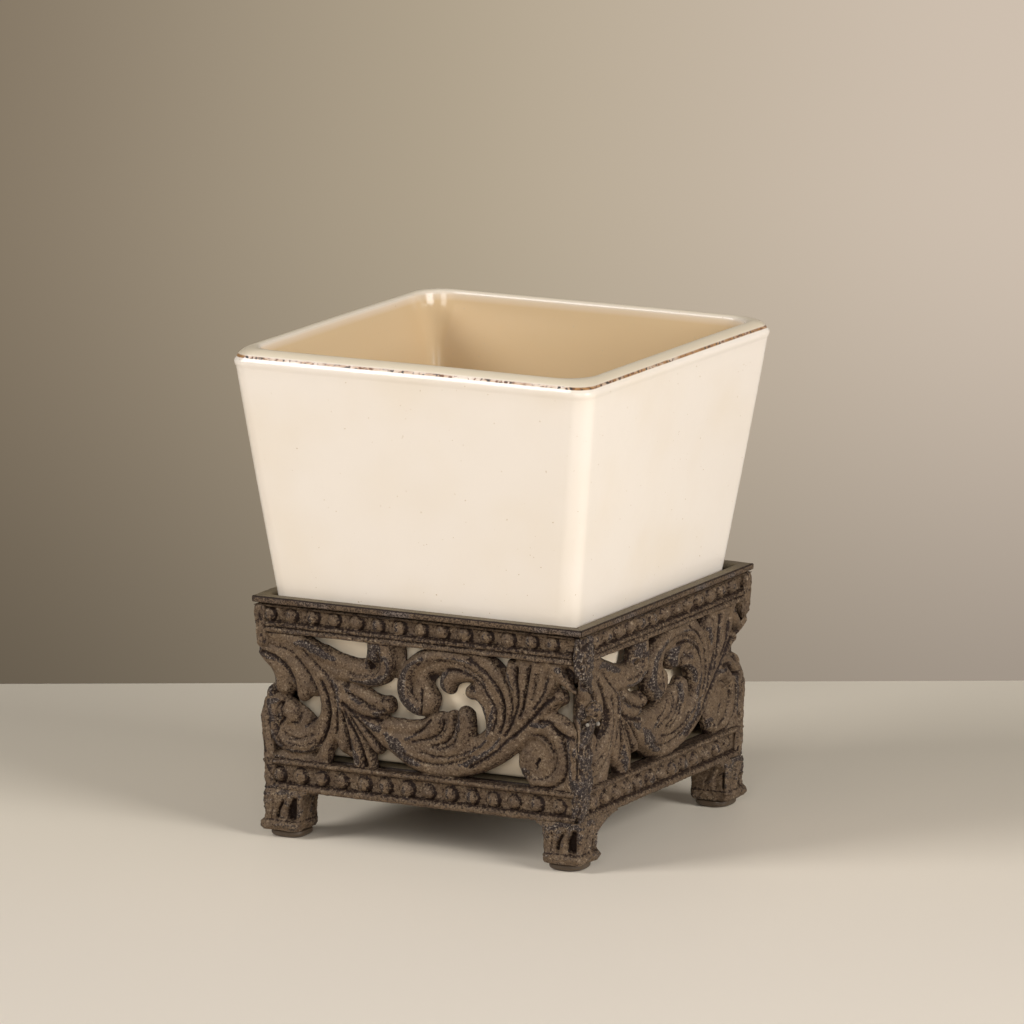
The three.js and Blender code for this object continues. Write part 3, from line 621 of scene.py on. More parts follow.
# The acanthus scroll, drawn on the front panel in millimetres. A ridge is a line of points: distance from the
# middle, height above the table, width, and how far its top lies below the highest crests.
RIDGES = [
    # Left border, hanging lobes and the scroll below them
    [(-46.6, 21.4, 3.4, 0.5), (-46.2, 30.0, 3.2, 0.4), (-45.6, 36.6, 3.2, 0.6), (-44.9, 40.4, 2.4, 0.9)],
    [(-49.5, 51.4, 2.4, 0.4), (-45.6, 50.2, 4.2, 0.2), (-42.6, 47.8, 4.6, 0.2), (-41.2, 45.0, 4.6, 0.2),
     (-40.8, 42.3, 5.0, 0.3)],
    [(-49.5, 52.6, 1.8, 0.5), (-44.6, 51.6, 2.8, 0.3), (-40.4, 49.8, 4.2, 0.2), (-37.2, 47.0, 4.6, 0.2),
     (-35.4, 43.8, 4.4, 0.2), (-35.0, 41.2, 4.2, 0.3), (-35.4, 39.8, 2.6, 0.6)],
    [(-48.0, 54.0, 2.6, 0.6), (-42.0, 53.0, 3.4, 0.7), (-37.0, 51.4, 3.8, 0.6), (-33.0, 48.6, 4.0, 0.5),
     (-29.8, 44.8, 3.8, 0.3), (-28.3, 40.6, 3.4, 0.2), (-28.0, 36.6, 3.2, 0.2), (-29.4, 32.6, 3.4, 0.4),
     (-32.6, 29.6, 4.0, 0.7), (-37.0, 28.0, 4.2, 1.0), (-41.0, 29.6, 3.4, 0.9)],
    [(-28.4, 34.6, 1.8, 0.6), (-29.6, 30.4, 3.0, 0.4), (-32.6, 27.2, 3.6, 0.2), (-37.0, 25.8, 3.8, 0.1),
     (-41.6, 26.8, 3.8, 0.1), (-44.2, 30.0, 3.6, 0.1), (-44.6, 34.4, 3.4, 0.1), (-43.2, 37.4, 3.0, 0.2),
     (-40.9, 38.0, 1.8, 0.6)],
    [(-46.0, 22.2, 3.2, 0.8), (-38.0, 22.6, 2.6, 1.2), (-31.0, 22.4, 2.0, 1.8)],
    [(-27.4, 30.0, 3.0, 0.9), (-28.4, 26.0, 3.2, 0.8), (-30.0, 22.0, 4.6, 0.9)],
    # Upper leaf and its hook
    [(-49.0, 56.2, 3.6, 0.5), (-41.0, 55.4, 3.8, 0.4), (-35.0, 54.2, 4.0, 0.0), (-29.6, 52.0, 4.0, 0.0),
     (-24.6, 50.3, 3.8, 0.2), (-19.4, 49.2, 3.8, 0.4), (-15.0, 49.8, 3.0, 0.3), (-13.4, 52.6, 3.6, 0.0),
     (-12.8, 57.0, 4.4, 0.0)],
    [(-34.0, 52.0, 2.8, 0.6), (-29.4, 49.2, 3.6, 0.6), (-24.6, 47.4, 3.8, 0.4), (-19.6, 46.8, 3.6, 0.2),
     (-14.4, 46.6, 3.8, 0.0), (-10.6, 48.0, 4.0, 0.0), (-9.4, 51.2, 4.2, 0.0), (-9.8, 54.6, 4.4, 0.0),
     (-10.4, 57.4, 4.4, 0.1)],
    [(-6.8, 49.0, 2.2, 2.6), (-6.2, 52.0, 2.6, 2.4), (-6.4, 57.0, 3.0, 2.4)],
    # Root of the fan, then its leaves from left to right
    [(-30.0, 47.0, 3.0, 0.3), (-26.6, 44.8, 3.2, 0.1), (-24.8, 42.0, 2.8, 0.0), (-23.9, 39.0, 2.2, 0.0),
     (-23.4, 36.0, 1.4, 0.3)],
    [(-27.2, 44.0, 2.0, 0.4), (-25.6, 39.6, 2.6, 0.4), (-25.3, 35.4, 2.8, 0.5), (-26.0, 31.0, 3.2, 0.7),
     (-27.0, 27.8, 2.4, 1.6)],
    [(-24.4, 39.0, 1.6, 0.4), (-23.4, 34.0, 2.4, 0.5), (-23.2, 29.6, 3.6, 0.6), (-23.2, 26.9, 2.6, 0.8)],
    [(-22.6, 38.0, 1.4, 0.4), (-21.2, 33.6, 2.0, 0.5), (-19.2, 29.0, 2.4, 0.2), (-18.5, 25.6, 3.2, 0.1),
     (-18.4, 22.6, 3.0, 0.3)],
    [(-22.0, 38.0, 1.4, 0.5), (-19.3, 33.4, 2.0, 0.6), (-17.0, 28.8, 2.2, 0.7), (-15.4, 24.6, 2.0, 1.1),
     (-14.6, 21.6, 1.8, 1.6)],
    [(-21.2, 38.0, 1.4, 0.5), (-17.4, 33.4, 2.4, 0.3), (-14.6, 29.6, 2.8, 0.2), (-12.8, 27.4, 2.4, 0.5)],
    [(-21.0, 38.6, 1.6, 0.4), (-16.6, 35.2, 2.8, 0.1), (-12.6, 32.6, 4.2, 0.2), (-9.0, 29.6, 4.2, 0.7),
     (-5.0, 26.8, 3.2, 0.9)],
    # Lobe that points right, with a ball at its end
    [(-25.0, 43.6, 2.6, 0.4), (-20.4, 42.8, 4.0, 0.6), (-16.4, 41.4, 3.8, 0.9), (-13.2, 40.4, 3.0, 0.6),
     (-11.4, 40.4, 2.0, 0.5)],
    [(-24.4, 41.0, 2.6, 0.3), (-19.6, 39.4, 3.6, 0.3), (-15.8, 38.0, 3.4, 0.2), (-12.8, 37.6, 2.8, 0.1),
     (-11.2, 38.4, 2.0, 0.3)],
    [(-20.0, 37.0, 2.4, 0.7), (-14.6, 35.0, 3.4, 0.8), (-9.6, 33.2, 3.6, 0.7)],
    # Large scroll: outer rim, dish and ball
    [(24.4, 36.0, 3.0, 0.6), (25.0, 42.0, 3.0, 0.6), (23.8, 47.0, 3.2, 0.5), (21.2, 50.8, 3.4, 0.3),
     (17.2, 53.4, 3.4, 0.1), (12.0, 54.8, 3.4, 0.0), (6.5, 54.9, 3.4, 0.0), (1.4, 53.4, 3.6, 0.0),
     (-2.2, 50.4, 3.8, 0.0), (-4.1, 46.6, 3.8, 0.0), (-3.7, 42.8, 4.0, 0.0), (-1.2, 40.4, 4.0, 0.1),
     (1.8, 40.6, 3.6, 0.3), (3.4, 42.6, 2.8, 0.7)],
    [(22.4, 35.0, 2.8, 0.5), (22.8, 40.0, 3.2, 0.1), (22.0, 44.6, 3.2, 0.1), (19.4, 48.8, 3.2, 0.2),
     (15.6, 51.6, 3.0, 0.6), (10.6, 52.8, 3.2, 0.9), (5.2, 52.0, 4.2, 1.1), (1.8, 49.6, 5.0, 1.3),
     (0.8, 46.6, 4.6, 1.2), (1.4, 43.6, 4.0, 0.6)],
    # Hook that hangs down and hook that points left
    [(17.6, 50.2, 2.4, 0.3), (13.4, 50.4, 3.4, 0.1), (10.0, 49.4, 4.4, 0.0), (8.7, 47.4, 4.2, 0.1),
     (9.2, 46.2, 2.6, 0.4)],
    [(21.0, 34.0, 2.4, 0.3), (21.8, 39.0, 3.4, 0.1), (20.8, 43.4, 4.4, 0.3), (18.0, 46.0, 4.2, 0.3),
     (15.6, 45.6, 2.8, 0.3)],
    [(22.6, 44.0, 2.6, 0.4), (20.2, 47.2, 3.0, 0.5), (17.4, 47.6, 1.8, 0.6)],
    # Outer band and the flutes behind the stem
    [(15.5, 57.0, 2.2, 1.0), (20.6, 54.6, 3.0, 0.9), (24.6, 51.0, 3.0, 0.7), (26.8, 46.8, 2.8, 0.6),
     (27.4, 42.6, 2.8, 0.6), (26.7, 38.6, 2.6, 0.6), (24.8, 34.8, 2.4, 0.5)],
    [(28.2, 54.4, 2.4, 0.2), (28.4, 51.6, 3.2, 0.1), (29.6, 46.8, 2.6, 0.4), (30.0, 42.6, 2.4, 0.6),
     (28.8, 38.4, 2.2, 0.6), (25.6, 34.4, 2.0, 0.5)],
    [(31.8, 54.0, 3.4, 0.6), (31.5, 50.0, 3.0, 0.6), (31.0, 46.0, 2.4, 0.6), (30.4, 42.0, 2.2, 0.6),
     (28.2, 37.6, 2.0, 0.6)],
    [(36.2, 57.0, 3.4, 0.5), (34.9, 52.0, 2.8, 0.3), (33.7, 47.2, 2.4, 0.4), (32.2, 42.8, 2.2, 0.6),
     (29.4, 38.4, 1.8, 0.6)],
    [(39.0, 57.0, 3.4, 1.0), (37.2, 52.0, 3.0, 0.8), (35.9, 48.0, 2.4, 0.7), (33.8, 43.6, 2.2, 0.7),
     (30.6, 39.4, 1.8, 0.6)],
    [(42.4, 56.4, 3.6, 0.9), (40.4, 51.4, 3.2, 0.5), (38.2, 47.8, 2.6, 0.5), (35.4, 44.0, 2.2, 0.6),
     (31.8, 40.2, 1.8, 0.6)],
    # Stem with a roll at its end, and the arm of the right volute below it
    [(42.0, 46.8, 2.2, 0.3), (39.4, 45.0, 2.6, 0.4), (36.6, 42.6, 3.0, 0.5), (32.4, 38.2, 3.2, 0.5),
     (27.4, 33.8, 3.0, 0.2), (22.2, 30.0, 3.4, 0.0), (17.0, 27.2, 3.6, 0.1)],
    [(35.8, 38.0, 3.4, 0.5), (31.0, 35.0, 3.2, 0.7), (27.0, 31.8, 3.2, 0.6), (22.6, 28.6, 3.2, 0.5),
     (17.0, 25.6, 3.2, 0.4), (11.0, 24.2, 3.4, 0.4), (5.0, 23.6, 3.4, 0.5), (-1.0, 24.6, 3.2, 0.4),
     (-6.0, 27.2, 3.0, 0.2)],
    [(33.4, 36.8, 2.8, 0.5), (36.2, 38.6, 3.4, 0.3), (39.6, 37.6, 3.6, 0.3), (42.2, 34.4, 3.6, 0.4),
     (43.2, 30.0, 3.6, 0.5), (41.8, 25.8, 3.6, 0.6), (38.2, 23.6, 3.2, 0.6), (34.0, 23.8, 2.8, 0.3)],
    [(34.4, 36.4, 1.4, 1.0), (37.0, 35.4, 1.8, 0.8), (39.2, 33.6, 2.0, 0.8), (39.8, 31.4, 2.4, 0.9)],
    [(37.6, 40.6, 2.4, 0.7), (41.2, 40.3, 3.2, 0.7), (44.2, 38.7, 3.0, 0.8), (47.8, 37.4, 2.6, 0.9)],
    [(34.0, 22.2, 2.0, 1.4), (40.0, 22.4, 3.0, 1.0), (46.0, 22.8, 4.0, 0.6)],
    [(45.6, 21.4, 4.4, 0.5), (45.8, 30.0, 4.0, 0.4), (45.8, 37.4, 3.4, 0.5)],
    # Corner leaf at the top right
    [(39.4, 56.0, 3.2, 0.5), (42.2, 53.6, 3.2, 0.3), (44.8, 51.2, 2.8, 0.3), (47.2, 49.4, 1.8, 0.5)],
    [(43.4, 57.2, 3.0, 0.9), (46.8, 56.2, 3.0, 0.5), (48.8, 54.2, 2.4, 0.4), (49.4, 52.4, 1.4, 0.6)],
    [(45.0, 54.6, 3.0, 1.6), (47.4, 51.8, 2.6, 1.6)],
    # Leaves of the lower band
    [(-12.0, 34.4, 2.6, 0.5), (-6.4, 33.9, 3.8, 0.7), (-1.6, 34.2, 3.4, 0.6), (1.8, 35.6, 2.4, 0.3),
     (4.4, 37.8, 1.2, 0.3)],
    [(-7.0, 31.0, 2.8, 0.2), (-1.0, 31.6, 3.2, 0.4), (3.0, 33.6, 3.6, 0.4), (5.4, 36.4, 3.2, 0.3),
     (6.2, 38.0, 1.8, 0.6)],
    [(-2.0, 29.6, 2.6, 0.5), (3.8, 30.8, 2.8, 0.7), (7.6, 33.0, 3.0, 0.7), (9.4, 36.2, 2.6, 0.7),
     (9.9, 38.8, 1.6, 0.9)],
    [(1.0, 28.6, 2.4, 0.5), (7.0, 29.6, 2.6, 0.6), (10.6, 32.6, 2.4, 0.7), (11.6, 36.4, 2.0, 0.7)],
    [(3.0, 28.0, 2.4, 0.5), (9.4, 29.0, 3.0, 0.5), (12.8, 31.6, 3.8, 0.3), (14.0, 36.0, 4.4, 0.1),
     (13.9, 39.4, 4.0, 0.1)],
    [(-9.6, 31.0, 4.0, 0.3), (-5.0, 28.6, 5.0, 0.0), (1.0, 27.0, 4.0, 0.4), (7.0, 26.6, 3.6, 0.5),
     (12.6, 27.8, 3.4, 0.4), (17.2, 30.4, 3.4, 0.2), (20.6, 33.4, 3.2, 0.2)],
]

# Low broad bodies that fill the pattern between its ridges, in the same terms
FILLS = [
    [(-40.0, 54.6, 3.0, 1.0), (-34.0, 52.6, 4.0, 0.9), (-30.0, 50.8, 4.0, 0.9), (-25.0, 48.9, 3.8, 0.9),
     (-20.0, 48.0, 3.6, 0.9), (-16.0, 48.2, 3.4, 0.9)],
    [(-44.4, 51.4, 4.4, 0.9), (-41.0, 48.8, 4.6, 0.8), (-39.0, 46.4, 4.0, 1.0), (-38.4, 43.6, 3.0, 1.2)],
    [(-41.0, 50.8, 4.4, 0.9), (-36.6, 47.8, 4.6, 0.9), (-33.4, 44.6, 3.6, 1.0), (-31.8, 41.4, 2.4, 1.2)],
    [(-25.6, 42.0, 4.0, 1.1), (-24.4, 36.0, 5.0, 1.2), (-22.8, 31.0, 7.0, 1.3), (-20.4, 27.4, 6.0, 1.4)],
    [(-20.6, 35.6, 3.4, 1.1), (-16.4, 32.0, 5.0, 1.1), (-13.0, 29.4, 4.4, 1.2)],
    [(-24.0, 42.4, 4.4, 0.9), (-18.4, 40.4, 5.2, 0.9), (-13.0, 39.0, 3.4, 0.9)],
    [(-15.0, 33.6, 3.6, 1.1), (-9.0, 31.6, 6.0, 1.0), (-4.0, 30.0, 7.0, 1.0), (2.0, 29.2, 6.6, 0.9),
     (8.0, 29.4, 6.6, 0.9), (13.0, 30.6, 6.4, 0.9), (18.0, 31.4, 5.0, 0.9), (21.5, 34.4, 4.0, 0.9)],
    [(3.0, 31.0, 5.0, 1.1), (7.4, 33.6, 6.4, 1.1), (9.6, 36.6, 5.4, 1.2)],
    [(-3.0, 24.9, 2.6, 1.4), (4.0, 24.8, 3.0, 1.2), (12.0, 26.2, 4.0, 1.0), (19.0, 29.0, 4.4, 0.9)],
    [(21.0, 51.4, 4.4, 1.1), (14.0, 53.0, 4.4, 1.3), (8.0, 53.0, 4.6, 1.4), (3.0, 51.0, 5.0, 1.6),
     (0.6, 47.8, 5.4, 1.7), (0.4, 44.4, 4.6, 1.4)],
    [(23.6, 35.6, 4.4, 1.0), (24.4, 41.4, 4.8, 1.0), (22.6, 46.0, 4.8, 1.0), (19.4, 49.6, 4.4, 1.0)],
    [(26.2, 36.0, 4.0, 1.2), (28.0, 40.0, 5.0, 1.3), (30.6, 45.6, 8.0, 1.3), (32.6, 51.0, 9.4, 1.3),
     (33.6, 54.4, 9.4, 1.3)],
    [(24.6, 37.6, 3.4, 1.2), (26.4, 43.6, 3.8, 1.2), (24.6, 50.0, 4.2, 1.2), (20.0, 54.4, 3.6, 1.2)],
    [(40.4, 45.6, 2.6, 0.9), (36.0, 41.6, 4.0, 0.9), (30.0, 36.2, 4.8, 0.9), (24.0, 31.4, 5.0, 0.8),
     (18.0, 27.6, 5.0, 0.8)],
    [(-41.4, 31.6, 3.6, 1.3), (-38.6, 29.0, 4.4, 1.3), (-34.0, 28.2, 4.4, 1.2), (-30.6, 30.2, 3.6, 1.1)],
]

# Round ends: distance from the middle, height, radius and how far below the crests
BOSSES = [
    (-39.4, 34.8, 3.1, 0.3),
    (-37.4, 30.8, 5.6, 1.5),
    (-9.4, 39.8, 1.8, 0.1),
    (42.4, 47.2, 1.7, 0.1),
    (36.3, 28.5, 6.6, 1.1),
    (1.6, 42.6, 3.9, 0.6),
]

# Creases cut between the leaves: a line of points, then depth and half width
CREASES = [
    (((-46.5, 51.2), (-43.0, 50.1), (-40.0, 48.2), (-38.0, 45.6), (-36.9, 43.0), (-36.8, 40.4)), 1.1, 0.45),
    (((-36.4, 50.2), (-34.0, 47.6), (-32.0, 44.9), (-30.9, 42.6), (-29.7, 40.2), (-29.4, 38.2), (-29.9, 36.0),
      (-31.6, 33.8), (-33.8, 31.9)), 0.9, 0.4),
    (((-46.5, 53.4), (-41.0, 52.6), (-37.0, 51.5)), 0.4, 0.35),
    (((-34.0, 52.2), (-30.6, 49.3), (-27.8, 46.9), (-26.3, 45.2)), 0.7, 0.4),
    (((-28.8, 44.6), (-27.4, 41.5), (-26.7, 38.6), (-26.4, 36.0), (-26.9, 33.4), (-27.6, 31.2), (-28.8, 28.8),
      (-30.8, 27.0)), 1.0, 0.42),
    (((-24.1, 37.5), (-24.3, 35.0), (-24.3, 32.6), (-24.8, 30.6)), 0.8, 0.35),
    (((-22.9, 36.6), (-22.1, 34.0), (-21.3, 31.4), (-21.0, 28.8), (-20.8, 26.2)), 1.0, 0.38),
    (((-21.9, 36.6), (-20.4, 33.8), (-18.6, 30.6), (-17.4, 27.8), (-16.7, 25.0), (-16.6, 23.4)), 1.0, 0.4),
    (((-20.2, 35.6), (-18.1, 32.6), (-16.1, 29.6), (-14.5, 27.2), (-14.0, 25.8)), 0.9, 0.36),
    (((-20.9, 37.6), (-18.4, 35.6), (-16.2, 33.4), (-14.0, 31.0), (-12.2, 29.0), (-10.8, 26.8)), 1.0, 0.4),
    (((-25.8, 44.2), (-24.9, 41.8), (-24.6, 39.2)), 0.8, 0.35),
    (((-22.6, 39.0), (-20.0, 37.4), (-17.4, 36.3), (-14.4, 35.7), (-11.4, 35.2)), 1.0, 0.5),
    (((-21.0, 41.9), (-18.0, 41.0), (-14.5, 39.2), (-11.6, 38.4), (-10.2, 38.7)), 0.9, 0.4),
    (((-11.0, 40.8), (-10.0, 41.3), (-8.4, 41.2)), 0.7, 0.4),
    (((-20.0, 47.5), (-15.0, 47.4), (-11.7, 48.7), (-10.9, 51.0), (-11.6, 53.8)), 0.5, 0.4),
    (((-34.0, 55.6), (-30.0, 54.4), (-26.0, 52.8)), 0.3, 0.4),
    (((-40.8, 33.0), (-42.4, 31.2), (-42.8, 29.0), (-42.0, 26.8), (-40.4, 25.6)), 0.9, 0.42),
    (((-41.0, 29.6), (-39.0, 28.3), (-36.5, 27.9), (-34.0, 28.6), (-31.5, 29.8)), 0.5, 0.35),
    (((-40.4, 27.2), (-37.0, 26.3), (-33.5, 26.8), (-30.7, 28.3)), 0.35, 0.35),
    (((-40.6, 38.4), (-41.2, 36.4), (-41.2, 34.4), (-40.6, 32.8)), 0.8, 0.42),
    (((-38.0, 32.2), (-36.2, 33.0), (-35.6, 34.8)), 0.5, 0.5),
    (((1.4, 52.6), (-0.6, 51.0), (-2.0, 48.6), (-2.3, 45.8), (-1.6, 43.4), (0.0, 42.2)), 0.5, 0.4),
    (((3.5, 53.4), (9.0, 53.9), (13.6, 53.3), (17.6, 51.7), (20.8, 49.2)), 0.5, 0.36),
    (((1.6, 45.4), (1.4, 43.0), (1.5, 40.8), (1.0, 39.0)), 0.9, 0.36),
    (((9.4, 51.4), (12.5, 51.7), (16.0, 50.9), (19.4, 48.8), (21.8, 45.6), (23.6, 42.0), (23.6, 39.0),
      (22.6, 36.4)), 0.9, 0.4),
    (((16.0, 55.2), (19.6, 52.9), (22.4, 50.4), (24.6, 47.6), (25.8, 45.0), (26.2, 42.0), (25.9, 39.0),
      (24.8, 36.2)), 1.1, 0.42),
    (((26.0, 53.4), (26.2, 51.0), (27.4, 48.4), (28.2, 45.4), (28.3, 42.0), (27.4, 38.8)), 0.6, 0.34),
    (((30.2, 54.2), (29.9, 51.0), (30.4, 47.0), (30.2, 43.6), (29.0, 40.4), (27.8, 37.8), (26.4, 35.6)), 1.1, 0.4),
    (((34.2, 55.0), (33.3, 50.6), (32.6, 46.8), (31.9, 43.6), (30.8, 41.0)), 1.1, 0.42),
    (((36.6, 53.0), (35.4, 49.0), (34.4, 46.0)), 0.5, 0.34),
    (((39.4, 52.0), (38.2, 48.4), (36.6, 45.8), (34.8, 43.4)), 0.9, 0.4),
    (((41.0, 47.1), (38.0, 44.7), (35.4, 41.9), (33.0, 39.4), (31.0, 37.4), (29.0, 35.6)), 1.4, 0.5),
    (((28.8, 35.6), (26.2, 33.4), (24.3, 31.4), (22.0, 29.6), (18.6, 27.3), (15.6, 25.4)), 1.0, 0.42),
    (((41.4, 48.8), (42.6, 48.6), (43.2, 47.6), (42.4, 46.8)), 0.5, 0.3),
    (((-1.0, 33.0), (1.6, 34.6), (3.9, 37.2)), 0.9, 0.36),
    (((7.6, 37.8), (7.3, 35.6), (5.4, 33.2), (2.2, 31.8), (-1.6, 30.9)), 0.8, 0.36),
    (((8.4, 38.4), (8.5, 36.2), (7.3, 33.8), (5.4, 32.2)), 0.5, 0.3),
    (((11.0, 38.8), (10.9, 35.8), (9.7, 33.2), (7.6, 31.4), (4.0, 30.1)), 0.8, 0.34),
    (((12.2, 35.4), (11.4, 32.6), (9.4, 30.8), (6.0, 29.6)), 0.6, 0.32),
    (((17.6, 31.4), (14.0, 29.0), (10.0, 27.9), (5.6, 27.6), (1.0, 28.2)), 0.6, 0.36),
    (((16.0, 28.4), (11.0, 26.6), (5.6, 25.4), (0.0, 25.8), (-4.0, 27.4)), 0.6, 0.34),
    (((36.6, 40.3), (39.6, 40.3), (41.2, 38.8), (43.2, 37.0), (46.4, 36.5)), 1.1, 0.5),
    (((43.8, 35.0), (44.6, 31.0), (44.4, 27.6), (42.8, 24.6), (39.6, 22.6), (35.0, 22.2)), 0.8, 0.42),
    (((40.8, 35.4), (41.4, 31.6), (40.7, 28.0), (38.4, 25.4), (34.8, 24.4), (31.8, 25.2)), 0.45, 0.34),
    (((33.6, 36.4), (36.8, 36.3), (39.2, 34.8), (40.6, 32.4)), 0.6, 0.32),
    (((36.4, 29.8), (35.5, 28.8), (35.5, 27.6)), 1.0, 0.36),
    (((44.9, 54.6), (46.0, 53.2), (47.4, 51.0)), 4.6, 0.8),
]

# Punched pits: distance from the middle, height, radius, depth
PITS = [
    (-13.8, 50.0, 1.0, 2.6),
    (-14.2, 51.2, 0.7, 1.4),
    (-21.6, 44.2, 0.9, 1.3),
    (16.6, 47.0, 0.9, 1.2),
    (-41.4, 37.2, 0.7, 1.1),
    (-40.2, 33.4, 0.6, 0.9),
    (24.6, 54.6, 1.3, 2.0),
    (4.4, 48.6, 1.5, 1.6),
    (18.6, 37.4, 1.6, 1.2),
    (-12.4, 35.2, 0.9, 0.9),
]

# Where the patina is rubbed off: a line of points with the width of the rubbed patch
RUBBED = [
    [(-47.6, 54.5, 1.0), (-47.0, 51.0, 1.6), (-44.4, 49.8, 1.1), (-41.0, 48.4, 0.9), (-38.6, 45.9, 1.1),
     (-37.0, 43.2, 1.1), (-36.9, 40.5, 1.0), (-36.2, 38.6, 0.9)],
    [(-44.4, 45.4, 1.0), (-43.8, 43.4, 2.2), (-44.0, 41.0, 2.8), (-44.4, 39.6, 2.0)],
    [(-45.0, 37.6, 1.6), (-43.0, 37.9, 1.8), (-41.2, 37.6, 1.2)],
    [(-45.0, 36.2, 1.6), (-44.4, 33.2, 2.0), (-42.4, 33.4, 1.8), (-41.0, 34.6, 0.9)],
    [(-45.2, 32.0, 1.6), (-44.6, 29.5, 1.8), (-43.4, 27.0, 2.2), (-41.3, 25.6, 1.6)],
    [(-40.0, 24.7, 1.0), (-36.5, 24.5, 1.4), (-33.5, 24.8, 1.6), (-31.0, 26.2, 1.3), (-29.0, 28.4, 0.9),
     (-27.6, 32.0, 0.9), (-26.9, 34.4, 0.7)],
    [(-34.2, 31.4, 0.7), (-32.2, 33.2, 0.9), (-30.1, 35.2, 0.9), (-29.6, 37.5, 0.9), (-30.2, 40.8, 0.8),
     (-31.5, 43.6, 0.9), (-33.4, 46.9, 0.7)],
    [(-36.4, 54.0, 1.4), (-33.5, 54.0, 2.4), (-30.5, 53.0, 2.2), (-27.5, 51.8, 1.8), (-24.6, 51.0, 1.2)],
    [(-13.2, 55.8, 3.4), (-12.2, 54.0, 4.4), (-11.0, 52.4, 2.6), (-9.2, 53.0, 1.4), (-8.4, 50.8, 1.2),
     (-8.8, 48.6, 1.4), (-10.6, 46.7, 1.7), (-13.4, 45.6, 1.7), (-16.6, 45.5, 1.2), (-19.8, 45.9, 0.9)],
    [(-15.0, 51.6, 1.4), (-14.8, 49.6, 1.1)],
    [(-27.0, 46.3, 1.2), (-25.2, 44.4, 1.7), (-24.4, 42.0, 1.1), (-23.6, 38.5, 1.1), (-23.2, 36.6, 1.0)],
    [(-22.2, 44.4, 1.2), (-21.2, 42.4, 1.4), (-19.0, 41.0, 1.5), (-17.4, 39.8, 0.9)],
    [(-12.6, 37.0, 1.8), (-10.6, 37.3, 2.0), (-9.9, 38.6, 0.8)],
    [(-16.4, 35.4, 0.9), (-14.2, 34.1, 1.8), (-12.2, 33.0, 2.0)],
    [(-20.2, 29.5, 0.7), (-19.6, 27.0, 1.5), (-18.8, 24.2, 2.2), (-18.6, 23.0, 1.6)],
    [(-18.7, 33.4, 0.7), (-16.9, 31.0, 0.8), (-15.1, 28.4, 0.7)],
    [(2.0, 53.8, 1.2), (-1.2, 52.2, 1.6), (-3.6, 49.3, 1.8), (-4.7, 46.0, 2.2), (-4.4, 42.8, 2.8),
     (-2.4, 40.2, 3.0), (0.0, 39.4, 2.2), (1.2, 41.0, 1.1), (1.4, 43.5, 1.0), (1.6, 45.0, 0.7)],
    [(9.0, 54.6, 0.6), (14.0, 54.6, 0.7), (17.4, 53.8, 0.7)],
    [(8.4, 45.6, 1.2), (7.4, 47.6, 2.2), (8.0, 49.8, 2.4), (10.3, 51.2, 1.2), (13.5, 51.7, 1.0),
     (17.0, 50.8, 0.9), (20.3, 48.6, 0.8), (22.4, 45.4, 0.8), (23.1, 42.0, 1.1), (22.4, 39.5, 2.0),
     (21.6, 37.0, 1.6), (20.8, 34.8, 0.9)],
    [(15.6, 47.0, 1.2), (17.0, 47.0, 1.3), (17.6, 46.2, 0.9)],
    [(14.8, 44.4, 1.0), (17.5, 43.8, 1.0), (20.0, 41.8, 1.1), (20.6, 39.4, 1.2)],
    [(27.2, 52.5, 1.2), (28.0, 50.0, 1.2), (28.8, 48.0, 0.7)],
    [(33.3, 54.2, 1.3), (33.6, 51.0, 1.0), (32.7, 46.5, 0.8), (32.1, 44.0, 0.7)],
    [(38.9, 51.2, 0.8), (38.4, 48.6, 0.8), (37.2, 46.6, 0.7)],
    [(33.5, 39.0, 0.8), (35.0, 39.4, 1.4), (37.5, 39.3, 1.2), (40.0, 40.4, 1.3), (41.5, 38.8, 1.1),
     (43.4, 37.2, 1.0)],
    [(24.7, 34.5, 0.7), (22.0, 31.2, 0.9), (20.3, 29.6, 1.4), (17.4, 27.8, 2.0), (15.0, 26.4, 1.6),
     (12.5, 25.8, 1.3)],
    [(15.3, 29.6, 1.1), (18.8, 31.6, 1.2), (20.8, 33.6, 0.9)],
    [(30.8, 26.2, 1.8), (32.4, 25.8, 1.6), (31.6, 24.8, 1.5)],
    [(-9.6, 32.0, 1.6), (-7.4, 29.8, 3.2), (-5.0, 27.8, 3.6), (-2.2, 26.0, 2.6), (0.4, 24.6, 1.3)],
    [(-3.8, 31.2, 0.8), (-1.0, 32.6, 0.9), (2.0, 34.8, 0.8), (3.7, 37.0, 0.5)],
    [(12.3, 39.8, 1.4), (12.4, 37.0, 1.7), (11.8, 34.6, 1.4), (10.8, 33.0, 0.8)],
    [(42.2, 54.9, 1.4), (43.8, 54.2, 1.6), (48.4, 51.0, 1.6), (49.2, 48.6, 1.0)],
    [(45.0, 37.0, 1.2), (45.2, 31.0, 1.0), (45.6, 25.0, 1.2), (46.4, 22.4, 1.4)],
    [(-47.2, 22.6, 2.0), (-44.6, 22.2, 1.6), (-41.0, 22.0, 0.7)],
]

# The drawing as a whole sits this far from the numbers above, aside and upwards
DRAWING_SHIFT = (-0.7, -0.4)
# The openwork lies between these heights, with a rail below and a rail above
SCROLL_BASE = 21.6
SCROLL_TOP = 56.0
SCROLL_UNDER_RAIL = 0.9
# Heights of a rail's mouldings: the one at its foot and the one at its cap
BOTTOM_FOOT = 2.0
BOTTOM_CAP = 1.5
TOP_FOOT = 3.0
TOP_CAP = 0.7
# Level at which the second step of the upper rail's moulding starts
SECOND_STEP = 1.7
# The beads of a rail: how many, and the radius and height of their half balls
RAIL_BEADS = 14
BEAD_RADIUS = 2.05
BEAD_HEIGHT = 1.85
